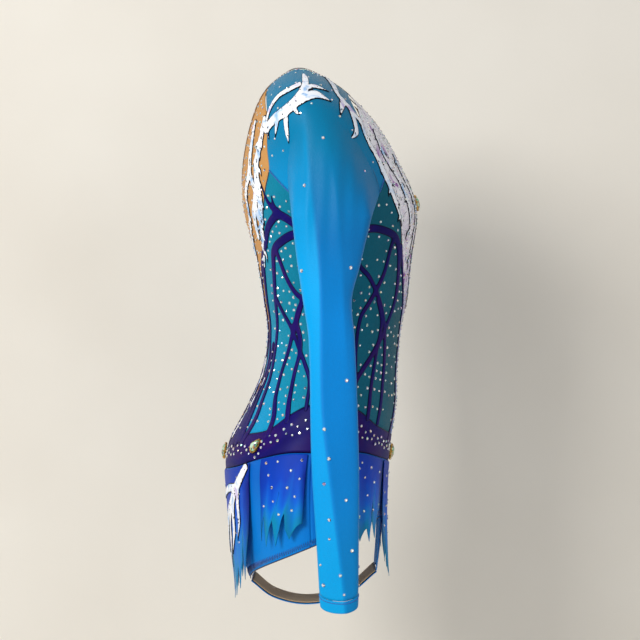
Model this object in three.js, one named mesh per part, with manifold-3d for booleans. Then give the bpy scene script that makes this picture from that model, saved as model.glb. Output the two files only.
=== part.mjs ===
// Long-sleeved rhythmic gymnastics leotard with a petal skirt.
// Millimetres. +Z is up, the wearer faces -Y and the wearer's right side is at -X.
// The origin lies on the body's centre line, level with the shoulder points.

import * as THREE from 'three';
import { mergeVertices } from 'three/addons/utils/BufferGeometryUtils.js';
import { TessellateModifier } from 'three/addons/modifiers/TessellateModifier.js';
import Module from 'manifold-3d';

const wasm = await Module();
wasm.setup();

// ---------- Driving dimensions ----------

const torsoLength = 566; // shoulder point to crotch
const chestWidth = 276; // across the body at the bust line
const sleeveDrop = 544; // shoulder point to the cuff edge of the hanging sleeve
const sleeveCuffWidth = 38; // the flattened sleeve, front to back, at the cuff
const sidePetalLength = 91;
const frontPetalLength = 124;
const backPetalLength = 132;
const petalSeat = 0.8; // air between a petal's top edge and the brief
const clothThickness = 1.2;
const seamGap = 1; // between the edges of neighbouring panels
const trimLift = 0.9; // between a panel and what is laid on it
const elasticLift = 1.3; // between a panel and the elastic behind its edge
const liningLift = 3.4; // between a panel and its lining
const trimThickness = 0.9;
const elasticWidth = 8;
const hemWidth = 12;
const strokeWidth = 6.5; // of the lattice strips
const gemLength = 15;
const gemWidth = 10;
const gemHeight = 4;

// ---------- The body that the cloth is cut to ----------

const blockLength = 566;
const blockChest = 276;
const lengthGrade = torsoLength / blockLength;
const girthGrade = chestWidth / blockChest;

// The garment block: level, half width, and where the side, front and back lines stand in Y.
const block = [
  [9, 62, 20, -3, 43],
  [-18, 128, 13, -37, 66],
  [-48, 159, 8, -65, 76],
  [-90, 151, 0, -90, 83],
  [-137, 138, -8, -107, 82],
  [-190, 121, -12, -103, 68],
  [-235, 108, -14, -98, 60],
  [-270, 104, -15, -91, 55],
  [-315, 115, -10, -87, 61],
  [-350, 128, -3, -86, 76],
  [-400, 142, 6, -78, 100],
  [-450, 146, 8, -73, 98],
  [-505, 140, 6, -68, 87],
  [-550, 132, 4, -62, 70],
];

const mix = (a, b, t) => a + (b - a) * t;
const degrees = THREE.MathUtils.degToRad;

// A smooth curve through rows of [position, value], with positions in rising order.
function smoothCurve(rows) {
  const slope = (i) => {
    const low = rows[Math.max(i - 1, 0)];
    const high = rows[Math.min(i + 1, rows.length - 1)];
    return (high[1] - low[1]) / (high[0] - low[0]);
  };
  return (x) => {
    let i = 0;
    while (i < rows.length - 2 && x > rows[i + 1][0]) i += 1;
    const span = rows[i + 1][0] - rows[i][0];
    const t = THREE.MathUtils.clamp((x - rows[i][0]) / span, 0, 1);
    const t2 = t * t;
    const t3 = t2 * t;
    return rows[i][1] * (2 * t3 - 3 * t2 + 1) + rows[i + 1][1] * (3 * t2 - 2 * t3)
      + slope(i) * span * (t3 - 2 * t2 + t) + slope(i + 1) * span * (t3 - t2);
  };
}

// One column of the block as a smooth function of the level.
function blockLine(column) {
  const rows = block.map((row) => [row[0], row[column]]);
  return smoothCurve(rows.reverse());
}

const halfWidthAt = blockLine(1);
const sideAt = blockLine(2);
const frontAt = blockLine(3);
const backAt = blockLine(4);

const bust = { angle: 32, angleSpread: 17, level: -140, levelSpread: 38, height: 6 };

// The body surface at an angle from the centre front (positive on the wearer's right) and a level.
function bodyPoint(angle, level) {
  const turn = degrees(angle);
  const side = sideAt(level);
  const reach = Math.cos(turn) > 0 ? side - frontAt(level) : backAt(level) - side;
  const across = (Math.abs(angle) - bust.angle) / bust.angleSpread;
  const down = (level - bust.level) / bust.levelSpread;
  const swell = bust.height * Math.exp(-across * across - down * down);
  const x = -halfWidthAt(level) * Math.sin(turn);
  const y = side - reach * Math.cos(turn) - swell;
  return new THREE.Vector3(x * girthGrade, y * girthGrade, level * lengthGrade);
}

function bodyNormal(angle, level) {
  const step = 0.5;
  const around = bodyPoint(angle + step, level).sub(bodyPoint(angle - step, level));
  const upward = bodyPoint(angle, level + step).sub(bodyPoint(angle, level - step));
  return upward.cross(around).normalize();
}

function liftedPoint(angle, level, lift) {
  return bodyPoint(angle, level).addScaledVector(bodyNormal(angle, level), lift);
}

// ---------- Seam lines, as levels by angle or angles by level ----------

// Reads a curve on both sides of the body, by the angle's size.
const bothSides = (curve) => (angle) => curve(Math.abs(angle > 180 ? angle - 360 : angle));

const neckline = bothSides(smoothCurve([
  [0, -42], [13, -35], [25, -20], [38, -6], [60, 5], [90, 9],
  [120, 5], [143, -10], [152, -30], [160, -50], [168, -82], [180, -103],
]));
const bandTop = bothSides(smoothCurve([
  [0, -385], [20, -379], [43, -368], [63, -351], [80, -346],
  [99, -346], [112, -356], [125, -372], [141, -378], [180, -390],
]));
const bandBottom = bothSides(smoothCurve([
  [0, -414], [30, -404], [56, -395], [92, -394], [107, -395], [125, -402], [147, -413], [180, -422],
]));
const legHem = bothSides(smoothCurve([
  [20, -469], [30, -469], [56, -474], [72, -480], [88, -488], [109, -501], [127, -512], [150, -526], [168, -538],
]));
// Where the white front panel meets the sleeve cap above and the side panel below.
const frontSeam = smoothCurve([
  [-390, 18], [-316, 17], [-270, 17], [-220, 26], [-162, 40],
  [-132, 46], [-106, 46], [-85, 48], [-66, 49], [-45, 44], [-20, 26],
]);
// Where the nude back panel meets the sleeve cap above and the side panel below.
const backSeam = smoothCurve([
  [-400, 150], [-360, 157], [-320, 162], [-270, 163], [-225, 158], [-185, 148],
  [-150, 139], [-120, 132], [-104, 128], [-86, 129], [-52, 131], [-12, 144],
]);
const sideSeam = 90;

// The armhole: an arch over the shoulder tip and a shallow dip at the armpit.
const armhole = { angle: 84.5, halfAngle: 29.5, base: -127, arch: 77, dip: 6 };

function armholeEdge(angle, height) {
  const offset = Math.min(1, Math.abs((angle - armhole.angle) / armhole.halfAngle));
  return armhole.base + height * Math.sqrt(1 - offset ** 2.5);
}

const armholeStart = armhole.angle - armhole.halfAngle;
const armholeEnd = armhole.angle + armhole.halfAngle;
const raglanFrontLevel = -106; // where the raglan seams leave the front and back seams
const raglanBackLevel = -104;
const raglanFrontAngle = frontSeam(raglanFrontLevel);
const raglanBackAngle = backSeam(raglanBackLevel);

// The lower edge of the sleeve cap (height above the base) or the upper edge of the side panels.
function raglanEdge(angle, height) {
  if (angle < armholeStart) {
    const t = (angle - raglanFrontAngle) / (armholeStart - raglanFrontAngle);
    return mix(raglanFrontLevel, armhole.base, t);
  }
  if (angle > armholeEnd) {
    const t = (angle - armholeEnd) / (raglanBackAngle - armholeEnd);
    return mix(armhole.base, raglanBackLevel, t);
  }
  return armholeEdge(angle, height);
}

// ---------- Building closed solids ----------

// Turns a geometry into one with shared vertices and faces that point outwards.
function closedSolid(geometry) {
  const bare = geometry.clone();
  bare.deleteAttribute('normal');
  bare.deleteAttribute('uv');
  const merged = mergeVertices(bare, 1e-4);
  const position = merged.attributes.position;
  const index = Array.from(merged.index.array);
  const kept = [];
  let volume = 0;
  for (let i = 0; i < index.length; i += 3) {
    const [a, b, c] = index.slice(i, i + 3);
    if (a === b || b === c || c === a) continue;
    const corners = [a, b, c].map((k) => new THREE.Vector3().fromBufferAttribute(position, k));
    volume += corners[0].dot(corners[1].clone().cross(corners[2]));
    kept.push([a, b, c]);
  }
  merged.setIndex(kept.flatMap(([a, b, c]) => (volume < 0 ? [a, c, b] : [a, b, c])));
  return merged;
}

// A slab whose length, width and thickness are laid onto a surface:
// place(s, t, h) gives a point for s and t from 0 to 1 and h at 0 (inside) or 1 (outside).
function mappedSlab(columns, rows, place) {
  const slab = new THREE.BoxGeometry(1, 1, 1, columns, rows, 1);
  const position = slab.attributes.position;
  for (let i = 0; i < position.count; i += 1) {
    const point = place(position.getX(i) + 0.5, 0.5 - position.getY(i), position.getZ(i) + 0.5);
    position.setXYZ(i, point.x, point.y, point.z);
  }
  return closedSolid(slab);
}

// A cloth panel between two seams and two edges, narrowed by half the seam gap all round.
function clothPanel({ top, bottom, start, end, columns, rows, lift = 0, thickness = clothThickness }) {
  const middle = (start(-200) + end(-200)) / 2;
  const width = Math.abs(end(-200) - start(-200)) * 2.2;
  const height = Math.abs(top(middle) - bottom(middle));
  const sideInset = seamGap / 2 / width;
  const endInset = seamGap / 2 / height;
  return mappedSlab(columns, rows, (s, t, h) => {
    const across = mix(sideInset, 1 - sideInset, s);
    const down = mix(endInset, 1 - endInset, t);
    let level = mix(top(middle), bottom(middle), down);
    let angle = middle;
    for (let pass = 0; pass < 6; pass += 1) {
      angle = mix(start(level), end(level), across);
      level = mix(top(angle), bottom(angle), down);
    }
    return liftedPoint(angle, level, lift + h * thickness);
  });
}

// A panel whose columns stand at chosen angles, so that corners in its edges fall on them.
function columnPanel({ top, bottom, angles, rows, lift = 0, thickness = clothThickness, gap = seamGap }) {
  const columns = angles.length - 1;
  return mappedSlab(columns, rows, (s, t, h) => {
    const angle = angles[Math.round(s * columns)];
    const level = mix(top(angle) - gap / 2, bottom(angle) + gap / 2, t);
    return liftedPoint(angle, level, lift + h * thickness);
  });
}

// Evenly spread angles from one to another.
const spread = (from, to, steps) => Array.from({ length: steps + 1 }, (_, i) => mix(from, to, i / steps));

// The tube of a closed ring path: ring(turn, along) with turn from 0 to 1 around it.
// The wall is a slab bent round until its ends meet, then sewn shut by sharing vertices.
function clothTube({ ring, around, rows, thickness = clothThickness }) {
  const vertices = [];
  const triangles = [];
  const node = (i, j, side) => ((i % around) * (rows + 1) + j) * 2 + side;
  for (let i = 0; i < around; i += 1) {
    for (let j = 0; j <= rows; j += 1) {
      for (let side = 0; side < 2; side += 1) {
        vertices.push(...ring(i / around, j / rows, side * thickness).toArray());
      }
    }
  }
  const quad = (a, b, c, d) => triangles.push(a, b, c, a, c, d);
  for (let i = 0; i < around; i += 1) {
    for (let j = 0; j < rows; j += 1) {
      quad(node(i, j, 1), node(i + 1, j, 1), node(i + 1, j + 1, 1), node(i, j + 1, 1));
      quad(node(i, j, 0), node(i, j + 1, 0), node(i + 1, j + 1, 0), node(i + 1, j, 0));
    }
    quad(node(i, 0, 0), node(i + 1, 0, 0), node(i + 1, 0, 1), node(i, 0, 1));
    quad(node(i, rows, 0), node(i, rows, 1), node(i + 1, rows, 1), node(i + 1, rows, 0));
  }
  const geometry = new THREE.BufferGeometry();
  geometry.setAttribute('position', new THREE.Float32BufferAttribute(vertices, 3));
  geometry.setIndex(triangles);
  return closedSolid(geometry);
}

function toManifold(geometry) {
  const solid = closedSolid(geometry);
  return new wasm.Manifold(new wasm.Mesh({
    numProp: 3,
    vertProperties: new Float32Array(solid.attributes.position.array),
    triVerts: new Uint32Array(solid.index.array),
  }));
}

function fromManifold(solid) {
  const mesh = solid.getMesh();
  const geometry = new THREE.BufferGeometry();
  geometry.setAttribute('position', new THREE.BufferAttribute(mesh.vertProperties, 3));
  geometry.setIndex(new THREE.BufferAttribute(mesh.triVerts, 1));
  return geometry;
}

// ---------- The assembly ----------

const leotard = new THREE.Group();

const colours = {
  tealMesh: 0x0a7f9c,
  cyanMesh: 0x0793d6,
  nudeMesh: 0xcd965a,
  painted: 0xcfd0e2,
  indigo: 0x1e0a80,
  white: 0xf2f2f6,
  blue: 0x0078d7,
  petal: 0x0060c8,
  lining: 0xd8b48c,
  elastic: 0x2a2c55,
  crystal: 0xbfe8dc,
  gold: 0xc9a24a,
};

function addPiece(name, geometry, colour, roughness = 0.7, metalness = 0) {
  const material = new THREE.MeshStandardMaterial({ color: colour, roughness, metalness });
  const mesh = new THREE.Mesh(geometry, material);
  mesh.name = name;
  leotard.add(mesh);
  return mesh;
}

// Makes a piece on the wearer's right, and its mirror image on the left.
const sides = [['right', 1], ['left', -1]];

function mirrored(geometry, side) {
  return side > 0 ? geometry : closedSolid(geometry.clone().scale(-1, 1, 1));
}

function addPair(name, geometry, colour, roughness, metalness) {
  for (const [word, side] of sides) {
    addPiece(`${word}_${name}`, mirrored(geometry, side), colour, roughness, metalness);
  }
}

// ---------- Front: painted panel, nude neck insert and bust lining ----------

const veePoint = -97; // the bottom of the nude insert's V
const veeTopAngle = 26;
const veeTopLevel = neckline(veeTopAngle);

function veeEdge(angle) {
  const t = Math.min(1, Math.abs(angle) / veeTopAngle);
  return mix(veePoint, veeTopLevel - seamGap * 2, t ** 1.25);
}

addPiece('front_centre_panel', clothPanel({
  top: veeEdge,
  bottom: bandTop,
  start: (level) => -frontSeam(level),
  end: frontSeam,
  columns: 12,
  rows: 18,
}), colours.painted);

addPiece('neck_insert', columnPanel({
  top: neckline,
  bottom: (angle) => veeEdge(angle) + seamGap,
  angles: spread(-veeTopAngle + 3, veeTopAngle - 3, 12),
  rows: 4,
}), colours.nudeMesh);

const liningTop = (angle) => veeEdge(angle) - 8;
const liningBottom = () => -205;

addPiece('bust_lining', clothPanel({
  top: liningTop,
  bottom: liningBottom,
  start: (level) => 6 - frontSeam(level),
  end: (level) => frontSeam(level) - 6,
  columns: 10,
  rows: 9,
  lift: -liningLift * girthGrade - trimThickness,
  thickness: trimThickness,
}), colours.lining);

// ---------- Sides and back ----------

addPair('front_side_panel', clothPanel({
  top: (angle) => raglanEdge(angle, -armhole.dip),
  bottom: bandTop,
  start: frontSeam,
  end: () => sideSeam,
  columns: 9,
  rows: 14,
}), colours.tealMesh);

addPair('back_side_panel', clothPanel({
  top: (angle) => raglanEdge(angle, -armhole.dip),
  bottom: bandTop,
  start: () => sideSeam,
  end: backSeam,
  columns: 7,
  rows: 20,
}), colours.tealMesh);

addPiece('back_mesh_panel', clothPanel({
  top: neckline,
  bottom: bandTop,
  start: backSeam,
  end: (level) => 360 - backSeam(level),
  columns: 12,
  rows: 22,
}), colours.nudeMesh);

// ---------- Sleeve caps over the shoulders ----------

// Its columns end at the corners of the armhole.
const capFeet = [
  ...spread(raglanFrontAngle, armholeStart, 3),
  ...[0.03, 0.09, 0.2, 0.35, 0.5, 0.65, 0.8, 0.91, 0.97].map((t) => mix(armholeStart, armholeEnd, t)),
  ...spread(armholeEnd, raglanBackAngle, 2),
];
const capFrontTop = -20;
const capBackTop = -12;
const capHeads = spread(frontSeam(capFrontTop), backSeam(capBackTop), capFeet.length - 1);

function sleeveCap() {
  const columns = capFeet.length - 1;
  const inset = 0.4;
  return mappedSlab(columns, 6, (s, t, h) => {
    const i = Math.round(s * columns);
    const foot = raglanEdge(capFeet[i], armhole.arch) + seamGap;
    const frontBow = frontSeam(mix(capFrontTop, raglanFrontLevel, t)) - mix(capHeads[0], capFeet[0], t);
    const backBow = backSeam(mix(capBackTop, raglanBackLevel, t)) - mix(capHeads[columns], capFeet[columns], t);
    const angle = mix(capHeads[i], capFeet[i], t) + frontBow * (1 - s) ** 2 + backBow * s ** 2;
    const level = mix(neckline(angle) - seamGap / 2, foot, t);
    return liftedPoint(angle + inset * (1 - 2 * s), level, h * clothThickness);
  });
}

addPair('sleeve_cap', sleeveCap(), colours.cyanMesh);

// ---------- Hip band, brief and gusset ----------

addPiece('hip_band_front', columnPanel({
  top: bandTop, bottom: bandBottom, angles: spread(-sideSeam + 0.1, sideSeam - 0.1, 20), rows: 3,
}), colours.indigo);

addPiece('hip_band_back', columnPanel({
  top: bandTop, bottom: bandBottom, angles: spread(sideSeam + 0.1, 360 - sideSeam - 0.1, 20), rows: 3,
}), colours.indigo);

const gussetFrontAngle = 13;
const gussetBackAngle = 168;
const gussetFrontLevel = -530;
const gussetBackLevel = -540;
const hemTopAngle = 20;

// The brief's lower edge: the leg hem, with a tongue that runs down to the gusset in front.
function frontHem(angle) {
  const size = Math.abs(angle);
  if (size >= hemTopAngle) return legHem(size);
  if (size <= gussetFrontAngle) return gussetFrontLevel;
  const t = (hemTopAngle - size) / (hemTopAngle - gussetFrontAngle);
  return mix(legHem(hemTopAngle), gussetFrontLevel, Math.sin(t * Math.PI / 2) ** 1.5);
}

const halfFront = [gussetFrontAngle, 15.5, 18, hemTopAngle, 28, 38, 48, 58, 69, 80, sideSeam - 0.1];
const halfBack = [...spread(sideSeam + 0.1, gussetBackAngle, 9)];

addPiece('brief_front', columnPanel({
  top: bandBottom,
  bottom: frontHem,
  angles: [...halfFront.map((angle) => -angle).reverse(), 0, ...halfFront],
  rows: 7,
}), colours.blue);

addPiece('brief_back', columnPanel({
  top: bandBottom,
  bottom: (angle) => legHem(Math.min(angle, 360 - angle)),
  angles: [...halfBack, 180, ...halfBack.map((angle) => 360 - angle).reverse()],
  rows: 8,
}), colours.blue);

// The gusset hangs as a shallow arch between the two tongues of the brief.
function gusset(lift, thickness, widthShare) {
  const front = bodyPoint(0, gussetFrontLevel);
  const back = bodyPoint(180, gussetBackLevel);
  const crotch = -torsoLength;
  const path = new THREE.CatmullRomCurve3([
    front.clone().add(new THREE.Vector3(0, 1, -seamGap)),
    new THREE.Vector3(0, mix(front.y, back.y, 0.25), mix(front.z, crotch, 0.75)),
    new THREE.Vector3(0, mix(front.y, back.y, 0.55), crotch),
    new THREE.Vector3(0, mix(front.y, back.y, 0.82), mix(back.z, crotch, 0.7)),
    back.clone().add(new THREE.Vector3(0, -1, -seamGap)),
  ]);
  const halfWidth = bodyPoint(-gussetFrontAngle, gussetFrontLevel).x * widthShare;
  return mappedSlab(4, 12, (s, t, h) => {
    const middle = path.getPoint(t);
    const along = path.getTangent(t);
    const outward = new THREE.Vector3(0, along.z, -along.y);
    const waist = 1 - 0.15 * Math.sin(Math.PI * t);
    return middle
      .add(new THREE.Vector3((2 * s - 1) * halfWidth * waist, 0, 0))
      .addScaledVector(outward, lift + h * thickness);
  });
}

addPiece('crotch_gusset', gusset(0, clothThickness, 1), colours.blue);
addPiece('gusset_lining', gusset(-trimLift - trimThickness, trimThickness, 0.9), colours.lining);

// ---------- Elastics ----------

// A flat band that follows an edge of the body cloth, just inside it.
function elasticRing(edge, around, width, lift) {
  return clothTube({
    around,
    rows: 1,
    thickness: trimThickness,
    ring: (turn, along, out) => {
      const [angle, level] = edge(turn);
      return liftedPoint(angle, level - along * width, lift + out);
    },
  });
}

const insideLift = -elasticLift - trimThickness;

addPiece('neckline_elastic', elasticRing(
  (turn) => [turn * 360, neckline(turn * 360) - seamGap],
  48,
  elasticWidth,
  insideLift,
), colours.elastic);

// The leg elastic runs round the leg's hem, from the side seam both ways to the gusset.
function legElastic() {
  const angles = spread(hemTopAngle, gussetBackAngle, 18);
  const columns = angles.length - 1;
  return mappedSlab(columns, 1, (s, t, h) => {
    const angle = angles[Math.round(s * columns)];
    const level = legHem(angle) + seamGap + elasticWidth * (1 - t);
    return liftedPoint(angle, level, insideLift + h * trimThickness);
  });
}

addPair('leg_elastic', legElastic(), colours.elastic);

// ---------- Sleeves ----------

// Where the hanging sleeve's section stands at a level: centre and half sizes in X and Y.
const sleeveRows = [
  // level, centre x, centre y, half thickness, half depth
  [-570, -164, -22, 9, 18],
  [-500, -163, -20.4, 9, 20.4],
  [-402, -162, -17.5, 9.5, 23.6],
  [-280, -160, -14, 10, 23],
  [-238, -158, -9.5, 12, 24.5],
  [-205, -157, -11, 14, 31],
  [-155, -157, -14, 15.5, 40],
];
const sleeveLine = (column) => smoothCurve(sleeveRows.map((row) => [row[0], row[column]]));
const sleeveX = sleeveLine(1);
const sleeveY = sleeveLine(2);
const sleeveThick = sleeveLine(3);
const sleeveDeep = sleeveLine(4);
const hangLevel = -155; // below this level the sleeve hangs straight down
const armholeGap = 0.8;
const armholeInset = 2.8; // degrees, at the front and back of the armhole
const cuffGrade = sleeveCuffWidth / 38;

// The cuff edge is cut longer on the outside, over the back of the hand.
const handPoint = 7;
const cuffEdge = (turn) => -sleeveDrop - handPoint * Math.sin(turn * 2 * Math.PI);

function hangingPoint(turn, level, out) {
  const angle = turn * 2 * Math.PI;
  const grade = mix(1, cuffGrade, THREE.MathUtils.clamp((level - hangLevel) / (-sleeveDrop - hangLevel), 0, 1));
  const flat = Math.sign(Math.sin(angle)) * Math.abs(Math.sin(angle)) ** 0.8;
  const x = sleeveX(level) * girthGrade - (sleeveThick(level) + out) * flat;
  const y = sleeveY(level) * girthGrade - (sleeveDeep(level) * grade + out) * Math.cos(angle);
  return new THREE.Vector3(x, y, level);
}

function armholePoint(turn, out) {
  const angle = armhole.angle - (armhole.halfAngle - armholeInset) * Math.cos(turn * 2 * Math.PI);
  const upper = turn <= 0.5;
  const edge = upper ? armholeEdge(angle, armhole.arch) - armholeGap : armholeEdge(angle, -armhole.dip) + armholeGap;
  const point = liftedPoint(angle, edge, clothThickness + 0.3);
  const inward = liftedPoint(armhole.angle, armhole.base + armhole.arch / 2, 0).sub(point).setX(0);
  return point.addScaledVector(inward.normalize(), -out * 0.5).add(new THREE.Vector3(-out * 0.8, 0, 0));
}

const capRows = 4;
const hangRows = 10;
const sleeveSides = 20;
const cuffTop = (turn) => cuffEdge(turn) + hemWidth;

function sleevePoint(turn, along, out) {
  const row = along * (capRows + hangRows);
  if (row >= capRows) {
    const level = mix(hangLevel, cuffTop(turn) + seamGap, (row - capRows) / hangRows);
    return hangingPoint(turn, level, out);
  }
  const t = row / capRows;
  const start = armholePoint(turn, out);
  const end = hangingPoint(turn, hangLevel, out);
  const belly = 9 * Math.sin(Math.PI * t) * Math.max(0, Math.sin(turn * 2 * Math.PI));
  return start.lerp(end, t).add(new THREE.Vector3(-belly, 0, 0));
}

addPair('sleeve', clothTube({ ring: sleevePoint, around: sleeveSides, rows: capRows + hangRows }), colours.cyanMesh);

addPair('cuff_hem', clothTube({
  around: sleeveSides,
  rows: 1,
  ring: (turn, along, out) => hangingPoint(turn, mix(cuffTop(turn), cuffEdge(turn), along), out),
}), colours.cyanMesh);

// ---------- Petals ----------

// A petal hangs from the hip band's lower edge and stands a little way off the brief.
// Its lower edge comes to a point that leans to one side.
function petal({ from, to, length, flare, lean }) {
  const top = (angle) => bandBottom(angle) - petalTopGap;
  return mappedSlab(8, 8, (s, t, h) => {
    const angle = mix(from, to, s);
    const reach = 1 - 0.32 * Math.abs(s - lean) ** 1.3;
    const level = top(angle) - t * length * reach;
    const lift = clothThickness + petalSeat + flare * t + h * clothThickness;
    return liftedPoint(angle, level, lift);
  });
}

const petalTopGap = 1.2;
const petals = {
  back: { from: 178.2, to: 132, length: backPetalLength, flare: 4, lean: 0.35 },
  side: { from: 123, to: 93, length: sidePetalLength, flare: 3, lean: 0.5 },
  front_side: { from: 62, to: 29, length: sidePetalLength, flare: 3, lean: 0.45 },
  front: { from: 25.5, to: 1.2, length: frontPetalLength, flare: 4, lean: 0.6 },
};

for (const [name, shape] of Object.entries(petals)) {
  addPair(`${name}_petal`, petal(shape), colours.petal);
}

// ---------- Lattice and branch appliques ----------

// Strips are drawn flat, with the body's angle as a length on a mean radius, then laid on the body.
const meanRadius = 115;
const flatX = (angle) => degrees(angle) * meanRadius;

// A tapering strip through points of [angle, level], as a flat slab one trim thick.
function flatStrip(points, width, tips = [0.5, 0.5]) {
  const path = new THREE.SplineCurve(points.map(([angle, level]) => new THREE.Vector2(flatX(angle), level)));
  const steps = Math.max(4, Math.round(path.getLength() / 14));
  return mappedSlab(1, steps, (s, t, h) => {
    const at = path.getPointAt(t);
    const along = path.getTangentAt(t);
    const taper = t < 0.5 ? mix(tips[0], 1, t * 2) : mix(1, tips[1], t * 2 - 1);
    const offset = (s - 0.5) * width * taper;
    return new THREE.Vector3(at.x - along.y * offset, at.y + along.x * offset, h);
  });
}

// Joins flat strips into one piece, cuts it finely enough to bend and lays it on the body.
function laidApplique(strips, lift) {
  let joined = null;
  for (const [points, width, tips] of strips) {
    const strip = toManifold(flatStrip(points, width, tips));
    joined = joined ? joined.add(strip) : strip;
  }
  const longestEdge = 16;
  const flat = new TessellateModifier(longestEdge, 8).modify(fromManifold(joined).toNonIndexed());
  const position = flat.attributes.position;
  for (let i = 0; i < position.count; i += 1) {
    const angle = THREE.MathUtils.radToDeg(position.getX(i) / meanRadius);
    const point = liftedPoint(angle, position.getY(i), lift + position.getZ(i) * trimThickness);
    position.setXYZ(i, point.x, point.y, point.z);
  }
  return closedSolid(flat);
}

const onPanels = clothThickness + trimLift;
const rib = strokeWidth;

addPair('back_lattice', laidApplique([
  [[[127, -136], [120, -150], [113, -161], [113, -174]], rib],
  [[[113, -170], [127, -177], [137, -192], [143, -230], [147, -281], [146, -329], [144, -370]], rib],
  [[[133, -190], [127, -214], [120, -230], [109, -240]], rib * 0.8],
  [[[115, -234], [121, -253], [126, -270], [131, -295], [133, -320], [129, -345], [125, -366]], rib],
  [[[121, -266], [117, -285], [118, -316], [116, -352]], rib * 0.8],
  [[[142, -235], [132, -260], [119, -287], [104, -321]], rib * 0.8],
], onPanels), colours.indigo);

addPair('front_lattice', laidApplique([
  [[[64, -164], [54, -165], [43, -172], [37, -190], [36, -225], [44, -271], [55, -296], [66, -319]], rib],
  [[[47, -179], [51, -212], [60, -238], [68, -253], [69, -290]], rib],
  [[[70, -202], [60, -216], [53, -238], [44, -262], [40, -300], [41, -359]], rib],
  [[[52, -244], [48, -268], [51, -296], [54, -352]], rib],
], onPanels), colours.indigo);

addPair('shoulder_branch', laidApplique([
  [[[89, -14], [99, -34], [110, -46], [122, -56]], 11, [0.8, 0.5]],
  [[[99, -36], [86, -33], [72, -36]], 8, [0.9, 0.2]],
  [[[104, -40], [102, -47], [98, -52]], 8, [1, 0.2]],
  [[[113, -48], [111, -62], [111, -78]], 8, [1, 0.3]],
], onPanels), colours.white);

addPair('neck_branch', laidApplique([
  [[[44, -12], [54, -26], [55, -42], [53, -56]], 9, [0.6, 0.5]],
  [[[55, -38], [61, -44], [67, -54]], 7, [1, 0.2]],
], onPanels), colours.white);

addPair('back_branch', laidApplique([
  [[[146, -40], [150, -80], [146, -110], [150, -140], [158, -175], [164, -205]], 12, [0.5, 0.6]],
  [[[148, -96], [142, -108], [138, -122]], 8, [1, 0.3]],
  [[[163, -195], [170, -240], [172, -290], [168, -335], [164, -372]], 9, [0.8, 0.5]],
], onPanels), colours.white);

// ---------- Crystals in gold settings ----------

const settingWall = 1.2;
const settingDepth = 2.2;
const settingFloor = 0.6;
const gemGap = 0.3;

function teardrop(length, width) {
  const outline = new THREE.Shape();
  const round = width / 2;
  outline.absarc(0, 0, round, Math.PI, 2 * Math.PI, false);
  outline.quadraticCurveTo(round, (length - round) * 0.5, 0, length - round);
  outline.quadraticCurveTo(-round, (length - round) * 0.5, -round, 0);
  return outline;
}

// A closed cup with a floor: the stone's outline grown by the wall, with the stone's seat cut out.
function gemSetting() {
  const grown = 2 * (gemGap + settingWall);
  const seat = 2 * gemGap;
  const outer = new THREE.ExtrudeGeometry(teardrop(gemLength + grown, gemWidth + grown), {
    depth: settingDepth, bevelEnabled: false, curveSegments: 4,
  });
  const pocket = new THREE.ExtrudeGeometry(teardrop(gemLength + seat, gemWidth + seat), {
    depth: settingDepth, bevelEnabled: false, curveSegments: 4,
  });
  pocket.translate(0, 0, settingFloor);
  return closedSolid(fromManifold(toManifold(outer).subtract(toManifold(pocket))));
}

// A stone with an upright girdle below and a crown that tapers to a flat table.
function gemStone() {
  const stone = new THREE.ExtrudeGeometry(teardrop(gemLength, gemWidth), {
    depth: gemHeight, steps: 2, bevelEnabled: false, curveSegments: 4,
  });
  const position = stone.attributes.position;
  const table = 0.55;
  const middle = gemLength / 2 - gemWidth / 2;
  for (let i = 0; i < position.count; i += 1) {
    if (position.getZ(i) < gemHeight * 0.9) continue;
    position.setX(i, position.getX(i) * table);
    position.setY(i, mix(middle, position.getY(i), table));
  }
  stone.translate(0, 0, settingFloor + gemGap);
  return closedSolid(stone);
}

// Seats a gem on the body at an angle and level, turned in its own plane.
function seatGem(name, angle, level, spin, lift) {
  const seat = new THREE.Object3D();
  seat.up.set(0, 0, 1);
  seat.position.copy(liftedPoint(angle, level, lift));
  seat.lookAt(liftedPoint(angle, level, lift + 10));
  seat.rotateZ(degrees(spin));
  seat.updateMatrix();
  const setting = addPiece(`${name}_setting`, gemSetting().applyMatrix4(seat.matrix), colours.gold, 0.3, 0.9);
  const stone = addPiece(`${name}_gem`, gemStone().applyMatrix4(seat.matrix), colours.crystal, 0.1, 0);
  return [setting, stone];
}

const gemLift = clothThickness + 0.7;
const sideGemLift = clothThickness + 0.4; // lower, because the band curves most at the sides

seatGem('bust', 0, -128, 180, gemLift);
seatGem('front_hip', 0, -400, 180, gemLift);
seatGem('back_hip', 180, -405, 0, gemLift);
const sideGemSpin = -42; // the point leans forward
for (const [word, side] of sides) {
  seatGem(`${word}_hip`, side * 131, -391, side * sideGemSpin, sideGemLift);
}

export default leotard;
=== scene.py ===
import math
import random

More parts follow.
